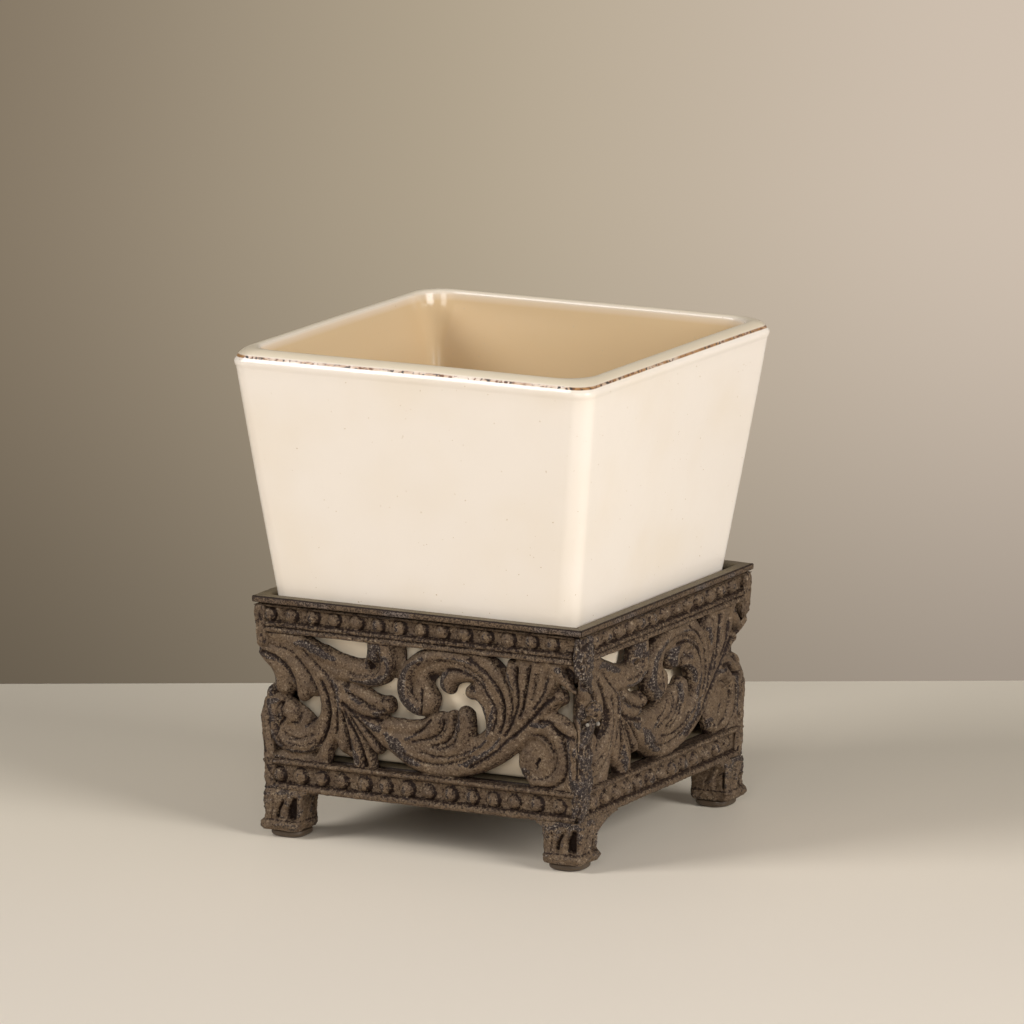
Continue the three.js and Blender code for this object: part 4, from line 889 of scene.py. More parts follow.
# How far the beads' channel is sunk, and how far the beads stand out beyond the panel's face
CHANNEL_SINK = 1.7
BEAD_PROUD = 0.25
# The crack at the right end of the rails, and the bevel that a file left behind the front panel's openings
CRACK_DEPTH = 1.6
FILED_BEVEL = 1.5


def curve_samples(points, step=0.3):
    """A smooth curve through the points, by cubic segments whose slopes come from their neighbours."""
    points = np.asarray(points, float)
    wide = np.concatenate([2 * points[:1] - points[1:2], points, 2 * points[-1:] - points[-2:-1]])
    parts = []
    for place in range(1, len(wide) - 2):
        before, start, end, after = wide[place - 1:place + 3]
        count = max(2, int(np.hypot(*(end - start)[:2]) / step) + 1)
        t = np.linspace(0, 1, count, endpoint=False)[:, None]
        parts.append(0.5 * (
            2 * start + (end - before) * t + (2 * before - 5 * start + 4 * end - after) * t ** 2
            + (3 * start - before - 3 * end + after) * t ** 3
        ))
    parts.append(points[-1:])
    return np.concatenate(parts)


class Relief:
    """The front panel as two fields on a grid: how far inside the pattern a point lies, and its height.

    Both fields are soft maxima, width * log(sum of exp(value / width)) over all the strokes laid on them, so that
    leaves run into each other and slits too narrow to cast close up.
    """

    # Widths of the two soft maxima: how gently outlines run together, and how gently heights do
    JOIN = 0.35
    BLEND = 0.14
    # How far the cast outline lies outside the drawn strokes
    DRAFT = 0.55
    # Height of the metal between the strokes, from the panel's back
    FLOOR = 1.3
    # Height of a dome's shoulder, as a share of its crest, and the slope of the walls beyond it
    SHOULDER = 0.74
    WALL_SLOPE = 2.4
    # Half width of the grid
    REACH = 51.0

    def __init__(self, stand):
        self.depth = stand.depth / MM
        self.step = stand.grid / MM
        self.crest = self.depth - 0.25
        u = np.linspace(-self.REACH, self.REACH, int(2 * self.REACH / self.step) + 1)
        low, high = PANEL_LOW[2] - 2 * self.step, PANEL_HIGH[2] + 2 * self.step
        v = np.linspace(low, high, int((high - low) / self.step) + 1)
        self.across, self.upright = np.meshgrid(u, v)
        # The pattern is drawn by hand, so its lines wander by a tenth of a millimetre
        self.bent_across = self.across - DRAWING_SHIFT[0] + 0.1 * self.noise(3.2, 5)
        self.bent_upright = self.upright - DRAWING_SHIFT[1] + 0.1 * self.noise(3.2, 6)
        self.inside_sum = np.full(self.across.shape, 1e-6)
        self.height_sum = np.full(self.across.shape, math.exp(self.FLOOR / self.BLEND))

    def noise(self, radius, seed):
        """Smooth noise with a spread of one. The radius is in millimetres."""
        return grain(self.across.shape, radius / self.step, seed)

    def soften(self, field, radius):
        """The field blurred by a radius in millimetres."""
        return blurred(field, radius / self.step)

    def lay(self, window, away, half, sink):
        """Lays a low dome, shoulder + (1 - shoulder) * (1 - share ** 2.4) ** 0.8, with sloping walls beyond it."""
        share = np.clip(away / half, 0, 1)
        dome = (self.crest - sink) * (self.SHOULDER + (1 - self.SHOULDER) * (1 - share ** 2.4) ** 0.8)
        dome = dome - self.WALL_SLOPE * np.clip(away - half, 0, None)
        self.inside_sum[window] += np.exp(np.clip(half - away, -4, 6) / self.JOIN)
        self.height_sum[window] += np.exp(np.clip(dome, 0, None) / self.BLEND)

    def line_window(self, line, margin):
        """The part of the grid around a line, and there the distance to each of the line's points."""
        across = self.across[0] - DRAWING_SHIFT[0]
        upright = self.upright[:, 0] - DRAWING_SHIFT[1]
        columns = np.nonzero((across > line[:, 0].min() - margin) & (across < line[:, 0].max() + margin))[0]
        rows = np.nonzero((upright > line[:, 1].min() - margin) & (upright < line[:, 1].max() + margin))[0]
        window = np.ix_(rows, columns)
        u, v = self.bent_across[window][..., None], self.bent_upright[window][..., None]
        return window, np.hypot(u - line[:, 0], v - line[:, 1])

    def ridge(self, points):
        """A dome along a smooth line, as the union of discs whose width and sink change along it."""
        line = curve_samples(points)
        half = line[:, 2] / 2
        window, away = self.line_window(line, half.max() + 1.8)
        nearest = np.argmax(half - away, -1)
        distance = np.take_along_axis(away, nearest[..., None], -1)[..., 0]
        self.lay(window, distance, half[nearest], line[nearest, 3])

    def boss(self, x, z, radius, sink):
        """One disc."""
        window, away = self.line_window(np.array([[x, z]]), radius + 1.8)
        self.lay(window, away[..., 0], radius, sink)

    def stroke(self, points, reach):
        """Distance to a smooth line in units of its half width, up to a reach in millimetres beyond it."""
        line = curve_samples(points)
        half = line[:, 2] / 2
        window, away = self.line_window(line, half.max() + reach)
        return window, (away / half).min(-1)


def rail_height(relief, base, top, foot, cap, last_bead):
    """Height of a beaded rail: a moulding at its foot, a sunk channel with a row of beads, and a narrow cap.

    Mouldings are rounds, top - 0.55 * |place| ** 2.6, with a coarse grain. Beads are half balls, height * sqrt(1 -
    away ** 2), with a dark ring around them, heavier on their right, and a darker right side: dark patina and painted
    shade.
    """
    depth = relief.depth
    across, level = relief.across, relief.upright - base
    span = top - base
    rough = relief.noise(0.42, 7 + int(base))
    height = depth - CHANNEL_SINK + 0.06 * relief.noise(0.5, 8 + int(base))
    rub = np.zeros(across.shape)
    # The channel is painted darker, most next to its mouldings: dark patina and painted shade
    hollow = 0.15 + 0.6 * smooth_step(0.8, 0.1, level - foot) + 0.5 * smooth_step(0.7, 0.1, span - cap - level)
    bands = [(0.0, foot), (span - cap, span)]
    if foot > BOTTOM_FOOT:
        # The upper rail has a wide moulding in two steps
        bands = [(0.0, 1.5), (SECOND_STEP, foot), (span - cap, span)]
    for low, high in bands:
        place = (level - (low + high) / 2) / ((high - low) / 2)
        round_top = depth - 0.12 - 0.55 * np.clip(np.abs(place), 0, 1.6) ** 2.6 + 0.07 * rough
        height = np.where(np.abs(place) < 1.3, np.maximum(height, round_top), height)
        edge = smooth_step(1.15, 0.7, np.abs(place))
        rub = np.maximum(rub, edge * (0.40 + 0.22 * relief.noise(6.0, 12 + int(base))))
        # Mouldings are painted darker towards their upper edge, and the upper rail's second step darker still
        dirt_and_shade = 0.42 if low == SECOND_STEP else 0.20 + 0.24 * smooth_step(0.0, 0.9, place)
        hollow = np.where(np.abs(place) < 1.0, dirt_and_shade, hollow)
    middle = (foot + span - cap) / 2 - (0.35 if last_bead else 0.0)
    # Spacing of the beads, and how far the row lies to the left
    pitch, shift = (6.475, -1.4) if last_bead else (6.552, -2.5)
    place = np.clip(np.round((across - shift) / pitch - 0.5), -RAIL_BEADS / 2, RAIL_BEADS / 2 - 1)
    which = (place + RAIL_BEADS / 2).astype(int)
    jitter = np.random.default_rng(11 + int(base)).normal(0, 1, (4, RAIL_BEADS))
    radius = BEAD_RADIUS + 0.08 * jitter[2][which]
    gap_x = across - shift - (place + 0.5) * pitch - 0.10 * jitter[0][which]
    gap_z = level - middle - 0.08 * jitter[1][which]
    away = np.hypot(gap_x, gap_z) / radius
    tall = BEAD_HEIGHT + 0.08 * jitter[3][which]
    bead = depth - CHANNEL_SINK - 0.15 + tall * np.sqrt(np.clip(1 - away ** 2, 0, 1)) + 0.03 * rough
    if last_bead:
        # The last bead ran when the panel was cast
        spoilt = which == RAIL_BEADS - 1
        bead = np.where(spoilt, bead - 0.9 - 0.5 * np.sin(gap_x * 2.1 + gap_z * 1.3), bead)
    height = np.where(away < 1, np.maximum(height, bead), height)
    # Each bead gets a dark ring, heavier on its right: dark patina and painted shade. Its own right side is painted
    # darker, as painted shade from light at the left
    ring = smooth_step(0.36, 0.0, np.abs(away - 1.02)) * (0.75 + 0.25 * np.clip(gap_x / radius, -1, 1))
    hollow = np.maximum(hollow, ring * (np.abs(gap_z) < 2.6))
    right_side_shade = 0.4 * smooth_step(0.3, 1.0, gap_x / radius)
    hollow = np.where(away < 0.86, right_side_shade, hollow)
    strength = 0.55 + 0.25 * np.random.default_rng(13 + int(base)).normal(0, 1, RAIL_BEADS)[which]
    patch = np.hypot((gap_x + 0.45) / 0.75, gap_z / 1.6) + 0.22 * relief.noise(0.4, 9 + int(base))
    rub = np.maximum(rub, np.clip(strength, 0.1, 0.85) * smooth_step(1.1, 0.7, patch))
    return height, hollow, rub


def panel_relief(stand):
    """The whole front panel: its grid, how far inside its outline each point lies, height, hollow and rub.

    Creases and pits are cut as a bell curve, and rubbed patches end in a ragged S-shaped edge.
    """
    relief = Relief(stand)
    z_low, z_high = PANEL_LOW[2], PANEL_HIGH[2]
    upright = relief.upright
    for points in RIDGES + FILLS:
        relief.ridge(points)
    for x, z, radius, sink in BOSSES:
        relief.boss(x, z, radius, sink)
    inside = relief.JOIN * np.log(relief.inside_sum) + relief.DRAFT
    height = relief.BLEND * np.log(relief.height_sum)
    # The scroll runs a little way under the rails
    margin = SCROLL_UNDER_RAIL + np.minimum(upright - SCROLL_BASE, SCROLL_TOP - upright)
    inside = np.where(margin < 0, -3.0, inside)
    height = relief.soften(np.clip(height, relief.FLOOR, None), 0.28)
    hollow = np.zeros(height.shape)
    rub = np.zeros(height.shape)
    # Cuts: the line with its widths, how deep it is, how dark it is painted, how wide the darkening spreads, and the
    # reach. The darkening is dark patina and painted shade in the creases and pits
    cuts = [
        ([(x, z, 2 * width) for x, z in points], 0.66 * depth, 0.35 + 0.55 * depth, 1.35, 1.5)
        for points, depth, width in CREASES
    ] + [
        ([(x - 0.01, z, 2 * radius), (x + 0.01, z, 2 * radius)], depth, 0.5 + 0.3 * depth, 1.1, 2.0)
        for x, z, radius, depth in PITS
    ]
    for line, depth, dirt_and_shade, spread, reach in cuts:
        window, away = relief.stroke(line, reach)
        height[window] -= depth * bell(away)
        hollow[window] = np.maximum(hollow[window], min(1.0, dirt_and_shade) * bell(away, spread))
    # The walls of the openwork are painted darker: dark patina and painted shade
    hollow = np.maximum(hollow, 0.42 * smooth_step(relief.DRAFT + 0.2, relief.DRAFT - 0.3, inside))
    ragged = relief.noise(0.45, 24) * 0.18 + relief.noise(1.3, 25) * 0.12
    for points in RUBBED:
        window, away = relief.stroke(points, 1.2)
        rub[window] = np.maximum(rub[window], smooth_step(1.25, 0.75, away + ragged[window]))
    for base, top, foot, cap, last_bead in (
        (z_low, SCROLL_BASE, BOTTOM_FOOT, BOTTOM_CAP, True), (SCROLL_TOP, z_high, TOP_FOOT, TOP_CAP, False),
    ):
        rail, rail_hollow, rail_rub = rail_height(relief, base, top, foot, cap, last_bead)
        within = np.minimum(upright - base, top - upright)
        over = within > -0.15
        height = np.where(over, np.where(within > 0.25, rail, np.maximum(height, rail - 0.5)), height)
        hollow = np.where(over, rail_hollow, hollow)
        rub = np.where(over, rail_rub, rub)
        inside = np.maximum(inside, within)
    # A crack between the right end of the rails and the weld
    crack = smooth_step(46.0, 46.9, relief.across + 0.4 * relief.noise(0.8, 26)) * (
        smooth_step(55.0, 57.0, upright) + 0.8 * smooth_step(21.0, 19.5, upright))
    height = height - CRACK_DEPTH * crack
    hollow = np.maximum(hollow, crack)
    # What lies well below its surroundings is painted darker: dark patina and painted shade
    solid = (inside > -0.1).astype(float)
    weight = relief.soften(solid, 0.9)
    around = relief.soften(height * solid, 0.9) / np.maximum(weight, 0.05)
    hollow = np.maximum(hollow, 0.85 * smooth_step(0.35, 1.4, around - height))
    # Slopes that fall to the right are painted darker: painted shade, as from light at the left
    slope = np.gradient(relief.soften(height, 0.2), relief.step, axis=1)
    hollow = np.maximum(hollow, 0.45 * smooth_step(-0.25, -1.0, slope))
    sand = stand.grain / MM
    height = height + sand * relief.noise(0.30, 21) + 0.6 * sand * relief.noise(1.2, 22)
    inside = inside + 0.05 * relief.noise(0.8, 23)
    border = np.minimum(upright - z_low, z_high - upright)
    rub = rub * (1 - np.clip(hollow, 0, 1))
    return relief, np.minimum(inside, border), np.clip(height, relief.FLOOR, relief.depth + 0.25), hollow, rub


# Polygons of a grid cell for each pattern of corners inside. Corners are 0 to 3, anticlockwise from the lower
# left, and 4 to 7 are the crossings on the lower, right, upper and left edges. The pairs are outline pieces.
CELL_SHAPES = {
    1: ([(0, 4, 7)], [(4, 7)]),
    2: ([(1, 5, 4)], [(5, 4)]),
    3: ([(0, 1, 5, 7)], [(5, 7)]),
    4: ([(2, 6, 5)], [(6, 5)]),
    5: ([(0, 4, 7), (2, 6, 5)], [(4, 7), (6, 5)]),
    6: ([(1, 2, 6, 4)], [(6, 4)]),
    7: ([(0, 1, 2, 6), (0, 6, 7)], [(6, 7)]),
    8: ([(3, 7, 6)], [(7, 6)]),
    9: ([(0, 4, 6, 3)], [(4, 6)]),
    10: ([(1, 5, 4), (3, 7, 6)], [(5, 4), (7, 6)]),
    11: ([(0, 1, 5, 6), (0, 6, 3)], [(5, 6)]),
    12: ([(2, 3, 7, 5)], [(7, 5)]),
    13: ([(0, 4, 5, 2), (0, 2, 3)], [(4, 5)]),
    14: ([(1, 2, 3, 7), (1, 7, 4)], [(7, 4)]),
    15: ([(0, 1, 2, 3)], []),
}


def cut_grid(inside, fields):
    """The part of a grid where a field is above zero, with its outline cut where the field crosses zero.

    Returns the fields at the points kept, quads, triangles, and the outline's pairs of points.
    """
    rows, columns = inside.shape
    kept = inside > 0
    numbers = np.full((rows, columns), -1)
    numbers[kept] = np.arange(kept.sum())
    values = [[field[kept]] for field in fields]
    count = int(kept.sum())
    crossings = []
    for first, second in (
        ((slice(None), slice(0, -1)), (slice(None), slice(1, None))),
        ((slice(0, -1), slice(None)), (slice(1, None), slice(None))),
    ):
        a, b = inside[first], inside[second]
        cross = (a > 0) != (b > 0)
        share = a[cross] / (a[cross] - b[cross])
        for store, field in zip(values, fields):
            store.append(field[first][cross] * (1 - share) + field[second][cross] * share)
        table = np.full(a.shape, -1)
        table[cross] = count + np.arange(cross.sum())
        count += int(cross.sum())
        crossings.append(table)
    level, upright = crossings
    corners = np.stack([
        numbers[:-1, :-1], numbers[:-1, 1:], numbers[1:, 1:], numbers[1:, :-1],
        level[:-1], upright[:, 1:], level[1:], upright[:, :-1],
    ], -1)
    code = kept[:-1, :-1] * 1 + kept[:-1, 1:] * 2 + kept[1:, 1:] * 4 + kept[1:, :-1] * 8
    quads, triangles, outline = [], [], []
    for case, (shapes, pieces) in CELL_SHAPES.items():
        cells = corners[code == case]
        for shape in shapes:
            (quads if len(shape) == 4 else triangles).append(cells[:, shape])
        for piece in pieces:
            outline.append(cells[:, piece])
    return (
        [np.concatenate(store) for store in values],
        np.concatenate(quads), np.concatenate(triangles), np.concatenate(outline),
    )


def panel_face(stand, z):
    """Distance of the panels' faces from the middle at a height: the lean, shared out evenly over the height."""
    z_low, z_high = PANEL_LOW[2], PANEL_HIGH[2]
    return -PANEL_LOW[1] - BEAD_PROUD - stand.lean / MM * (z_high - z) / (z_high - z_low)


def panel_mesh(stand, drawn, bevel_depth):
    """Points, faces and attributes of a panel: relief in front, walls at its outline, and a back.

    The back is bevelled along the outline by the given depth, so that the openings widen towards the cup.
    """
    relief, inside, height, hollow, rub = drawn
    depth = relief.depth
    bevel = bevel_depth * smooth_step(1.6, 0.0, relief.soften(np.clip(inside, -0.5, 2.5), 0.3))
    back = np.minimum(0.3 + bevel + 0.03 * relief.noise(0.6, 31), height - 0.55)
    fields, quads, triangles, outline = cut_grid(
        inside, [relief.across, relief.upright, height, hollow, rub, back]
    )
    x, z, high, dark, rubbed, sunk = fields
    count = len(x)
    face = panel_face(stand, z)
    front = np.stack([x, -face + depth - high, z], -1)
    rear = np.stack([x, -face + depth - np.clip(sunk, 0.0, 2.0), z], -1)
    points = np.concatenate([front, rear])
    # Mitred ends: no point passes the diagonal plane of its corner
    limit = -points[:, 1] - MITRE_GAP
    points[:, 0] = np.clip(points[:, 0], -limit, limit)
    walls = np.stack([outline[:, 0], outline[:, 1], outline[:, 1] + count, outline[:, 0] + count], -1)
    quads = np.concatenate([quads, quads[:, ::-1] + count, walls])
    triangles = np.concatenate([triangles, triangles[:, ::-1] + count])
    attributes = {"rub": np.append(rubbed, np.zeros(count)), "hollow": np.append(dark, dark)}
    return points, quads, triangles, attributes


def make_panels():
    """One pattern serves all four sides: the front panel's points turned by quarter turns.

    Only the front panel's openings are filed to a bevel from behind. The other three share a plain back.
    """
    stand = bpy.context.scene.pen_holder_stand
    drawn = panel_relief(stand)
    material = sand_cast_metal(stand)
    filed, plain = (panel_mesh(stand, drawn, bevel) for bevel in (FILED_BEVEL, 0.0))
    for turns, side in enumerate(SIDES):
        points, quads, triangles, attributes = filed if side == "front" else plain
        piece = piece_from(
            f"cast_panel_{side}", turned(points, turns), quads, triangles, material, attributes, sharp=50
        )
        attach(piece, "stand")
        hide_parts(f"panel_{side}")


# Flat bars

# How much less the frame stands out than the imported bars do
FRAME_TRIM = 1.0
# Points along a bar
BAR_STEPS = 260


def bar_points(section, steps, bumps, seed):
    """A section of half widths and heights carried along the front side and mitred at both ends."""
    half, level = section.T
    along = np.linspace(-1, 1, steps)[:, None] * (half - MITRE_GAP)
    wobble = bumps * grain(along.shape, 1.6, seed)
    return np.stack([along, -(half + wobble), level + 0.4 * wobble], -1)


def rounded_section(outer, inner, low, high, radius, steps=4):
    """A rectangle with rounded corners as half widths and heights, clockwise seen from the left end."""
    rows = []
    for centre_x, centre_z, start in (
        (outer - radius, low + radius, -90), (outer - radius, high - radius, 0),
        (inner + radius, high - radius, 90), (inner + radius, low + radius, 180),
    ):
        for turn in np.radians(np.linspace(start, start + 90, steps)):
            rows.append([centre_x + radius * np.cos(turn), centre_z + radius * np.sin(turn)])
    rows = np.array(rows)
    # Extra points along the flats, so that their surface can wander
    dense = []
    for place in range(len(rows)):
        following = rows[(place + 1) % len(rows)]
        count = max(1, int(np.hypot(*(following - rows[place])) / 0.5))
        dense.append(rows[place] + (following - rows[place]) * np.linspace(0, 1, count, endpoint=False)[:, None])
    return np.concatenate(dense)


def make_bar_set(name, node, outer, inner, low, high, radius, bumps, seed, material, edge_width):
    """Four mitred bars of one rounded section. The outer edge, up to its width, carries the worn patina.

    A line of dirt follows the top of that edge.
    """
    section = rounded_section(outer, inner, low, high, radius)
    rings = bar_points(section, BAR_STEPS, bumps, seed)
    edge = smooth_step(outer - edge_width, outer - 0.5 * edge_width, section[:, 0])
    seam = smooth_step(0.34, 0.06, np.abs(section[:, 1] - high + 0.2)) * (section[:, 0] > outer - edge_width)
    points, quads, caps, attributes = joined([(rings, {"rub": edge, "hollow": seam})])
    for turns, side in enumerate(SIDES):
        piece = piece_from(f"{name}_{side}", turned(points, turns), quads, caps, material, attributes, sharp=50)
        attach(piece, "stand")
        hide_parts(f"{node}_{side}")


def make_top_bars():
    """The frame of flat bar around the cup."""
    stand = bpy.context.scene.pen_holder_stand
    make_bar_set(
        "top_frame_bar", "top_bar", -TOP_BAR_LOW[1] - FRAME_TRIM, -TOP_BAR_HIGH[1], TOP_BAR_LOW[2], TOP_BAR_HIGH[2],
        radius=0.5, bumps=0.05, seed=41, material=rolled_bar_metal(stand), edge_width=0.5,
    )


def make_ledge_bars():
    """The ledge of flat bar that carries the cup."""
    stand = bpy.context.scene.pen_holder_stand
    make_bar_set(
        "ledge_flat_bar", "ledge_bar", -LEDGE_LOW[1], -LEDGE_HIGH[1], LEDGE_LOW[2], LEDGE_HIGH[2],
        radius=0.4, bumps=0.03, seed=43, material=rolled_bar_metal(stand), edge_width=0.3,
    )


# Feet and pads

# Half width of a foot at shares of its height, from toe to knee, and the radius of its corners
FOOT_SHAPE = [
    (0.0, 5.5), (0.03, 5.85), (0.10, 6.05), (0.19, 6.0), (0.25, 5.75), (0.34, 5.72), (0.5, 5.8), (0.7, 5.9),
    (0.86, 6.05), (0.94, 6.0), (1.0, 5.5),
]
FOOT_CORNER = 1.7
# A web beside a foot: its thickness, and the run and drop of the long one and of the others
WEB_THICKNESS = 2.4
LONG_WEB = (12.5, 4.2)
SHORT_WEB = (2.6, 2.2)


def foot_rings(low, high, centre):
    """Rings of a rounded square carried up from low to high through toe, ankle and knee, with their rub and hollow.

    On each outward face s runs from -1 at its left edge to 1 at its right edge and t from 0 at the toe to 1 at the
    knee. A leaning rib stands beside a deep recess, and a slit parts the rib from a rounded leaf on its left.
    """
    share = np.linspace(0, 1, 90)
    half = np.interp(share, *np.array(FOOT_SHAPE).T)
    half = np.convolve(np.pad(half, 3, mode="edge"), np.ones(7) / 7, mode="valid")
    flat, outward = square_rings(half, FOOT_CORNER, per_corner=13, per_side=40)
    east, north = outward.T
    s = np.where(np.abs(north) > 0.7, -flat[..., 0] * np.sign(north), flat[..., 1] * np.sign(east)) / half[:, None]
    t = share[:, None]
    body = rise_and_fall(t, (0.20, 0.32), (0.92, 1.0))
    lean = 0.06 + 0.34 * smooth_step(0.2, 0.85, t) + 0.05 * np.sin(t * 9)
    recess = smooth_step(0.34, 0.18, np.abs(s - 0.58)) * rise_and_fall(t, (0.23, 0.36), (0.72, 0.88))
    slit = bell(s - lean + 0.27, 0.075) * rise_and_fall(t, (0.24, 0.36), (0.66, 0.82))
    rib = bell(s - lean, 0.13, 4) * body
    leaf = np.clip(1 - ((s + 0.62) / 0.42) ** 2, 0, 1) ** 0.7 * body
    line = bell(s + 0.50 - 0.10 * np.sin((t - 0.3) * 4), 0.05) * body * (1 - smooth_step(0.7, 0.9, t))
    outer_side = smooth_step(-0.2, 0.5, np.maximum(east, -north))
    fine = grain(flat.shape[:2], 1.4, 51)
    lump = grain(flat.shape[:2], 4.0, 52)
    toe = bell(t - 0.13, 0.10)
    push = outer_side * (-2.1 * recess * (rib < 0.5) - 1.0 * slit + 0.25 * rib + 0.22 * leaf - 0.28 * line)
    push = push + 0.05 * fine + 0.09 * lump + toe * 0.14 * np.clip(lump, -1, 1.4) - 0.18
    push = push + outer_side * toe * 0.25 * (s > 0.2) - 0.25 * body * outer_side * (1 - leaf) * (1 - rib)
    flat = flat + outward * push[..., None] + centre
    # The toe points outwards along the corner's diagonal
    outwards = 0.2 + 0.35 * smooth_step(0.30, 0.14, t) - 0.2 * smooth_step(0.7, 1.0, t)
    flat = flat + np.array([1.0, -1.0]) * outwards[..., None]
    # The recess, the slit, the line and a ring above the toe are painted darker: dark patina and painted shade
    hollow = np.clip(outer_side * (recess * 1.2 * (rib < 0.5) + slit + 0.6 * line), 0, 1)
    hollow = np.maximum(hollow, 0.6 * bell(t - 0.24, 0.03))
    corner = smooth_step(0.78, 0.95, np.abs(s)) * (t > 0.25)
    rub = smooth_step(-0.2, 1.1, lump) * 0.55 + 0.35 * corner + 0.4 * smooth_step(0.72, 0.9, t) + 0.3 * rib
    rub = np.clip(rub * (1 - hollow), 0, 0.9)
    return raised(flat, low + (high - low) * t), rub, hollow


def web_rings(run, drop, face, start, top):
    """A web that sweeps from the rail down to the foot: its lower edge falls as drop * (1 - s) ** 1.9 along it."""
    share = np.linspace(0, 1, 24)
    low = top - 1.0 - drop * (1 - share) ** 1.9
    back = face - WEB_THICKNESS
    section = ((face, low + 0.3), (face, top), (back, top), (back, low), (face - 0.5, low))
    along = start + run * share
    return np.stack([np.stack(np.broadcast_arrays(x, along, z), -1) for x, z in section], 1)


def make_feet():
    """Four feet from one pattern, each with a web at both sides where the rails run down to it."""
    stand = bpy.context.scene.pen_holder_stand
    material = sand_cast_metal(stand)
    centre = (FOOT_LOW + FOOT_HIGH)[:2] / 2
    top = FOOT_HIGH[2] + 0.8
    rings, rub, hollow = foot_rings(FOOT_LOW[2], top, centre)
    face = panel_face(stand, PANEL_LOW[2]) - 0.1
    start = FOOT_HIGH[1] - 1.4
    short = web_rings(*SHORT_WEB, face, start, top)
    # The web on the other face is the same, mirrored in the corner's diagonal
    other = np.stack([-short[..., 1], -short[..., 0], short[..., 2]], -1)[:, ::-1]
    for turns, corner in enumerate(CORNERS):
        web = web_rings(*LONG_WEB, face, start, top) if corner == "front_right" else short
        points, quads, caps, attributes = joined([
            (rings, {"rub": rub, "hollow": hollow}), (web, {"rub": 0.45, "hollow": 0.0}),
            (other, {"rub": 0.35, "hollow": 0.0}),
        ])
        piece = piece_from(f"cast_foot_{corner}", turned(points, turns), quads, caps, material, attributes, sharp=60)
        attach(piece, "stand")
        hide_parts(f"foot_{corner}")


def make_pads():
    """Low cushions: the half width rises with a quarter circle from the table and draws in at the top."""
    stand = bpy.context.scene.pen_holder_stand
    material = moulded_rubber(stand)
    centre = (PAD_LOW + PAD_HIGH)[:2] / 2
    full = (PAD_HIGH[0] - PAD_LOW[0]) / 2 - 0.15
    height = PAD_HIGH[2] - PAD_LOW[2]
    middle = full - 3.6
    rows = [(middle, 0.0)]
    for turn in np.radians(np.linspace(0, 90, 9)):
        rows.append((full - 1.3 * (1 - np.sin(turn)), 1.1 * (1 - np.cos(turn))))
    for turn in np.radians(np.linspace(0, 90, 7)):
        rows.append((full - 0.3 * (1 - np.cos(turn)), height - 0.3 * (1 - np.sin(turn))))
    rows.append((middle, height))
    half, level = np.array(rows).T
    flat, _ = square_rings(half, np.minimum(3.4, half), per_corner=13, per_side=12)
    points, quads, caps, _ = joined([(raised(flat + centre, level[:, None]), {})])
    for turns, corner in enumerate(CORNERS):
        piece = piece_from(f"rubber_pad_{corner}", turned(points, turns), quads, caps, material, sharp=50)
        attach(piece, "stand")
        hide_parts(f"pad_{corner}")


# Welds

# Sections of the welds: height, how far the middle lies back along the right-hand panel, half thickness, half width
# along that panel, and squareness (2 is an ellipse)
LOWER_WELD = [(12.8, 0.0, 1.5, 1.5, 3), (33.0, 0.0, 1.5, 1.5, 3), (38.1, 0.0, 0.4, 0.4, 2)]
UPPER_WELD = [(50.8, 0.0, 0.4, 0.4, 2), (53.0, 0.0, 1.5, 1.5, 4), (63.8, 0.0, 1.6, 1.6, 6)]
ROUGH_LOWER_WELD = [
    (12.8, 2.6, 1.6, 3.2, 3), (24.0, 2.8, 1.6, 3.4, 3), (33.0, 3.2, 1.7, 3.6, 3), (36.5, 4.2, 1.7, 3.4, 3),
    (38.6, 5.6, 1.6, 2.8, 2), (40.2, 6.8, 1.1, 1.4, 2), (41.4, 7.0, 0.9, 0.9, 2),
]
ROUGH_UPPER_WELD = [
    (46.4, 6.6, 0.4, 0.5, 2), (47.6, 5.9, 0.9, 1.0, 2), (50.4, 4.4, 1.0, 1.4, 2), (52.4, 3.0, 1.4, 2.6, 3),
    (54.0, 2.7, 1.5, 3.2, 4), (63.8, 2.6, 1.5, 3.2, 6),
]
# Drops on the rough weld: height, place back along the panel, radius, how far the middle stands out, seed, and 1 where
# the drop is painted bright as a painted glint
WELD_DROPS = [(43.3, 6.4, 2.3, 0.7, 81, 0.0), (39.8, 3.5, 0.5, 0.5, 82, 1.0), (38.9, 9.6, 0.6, 0.3, 83, 1.0)]


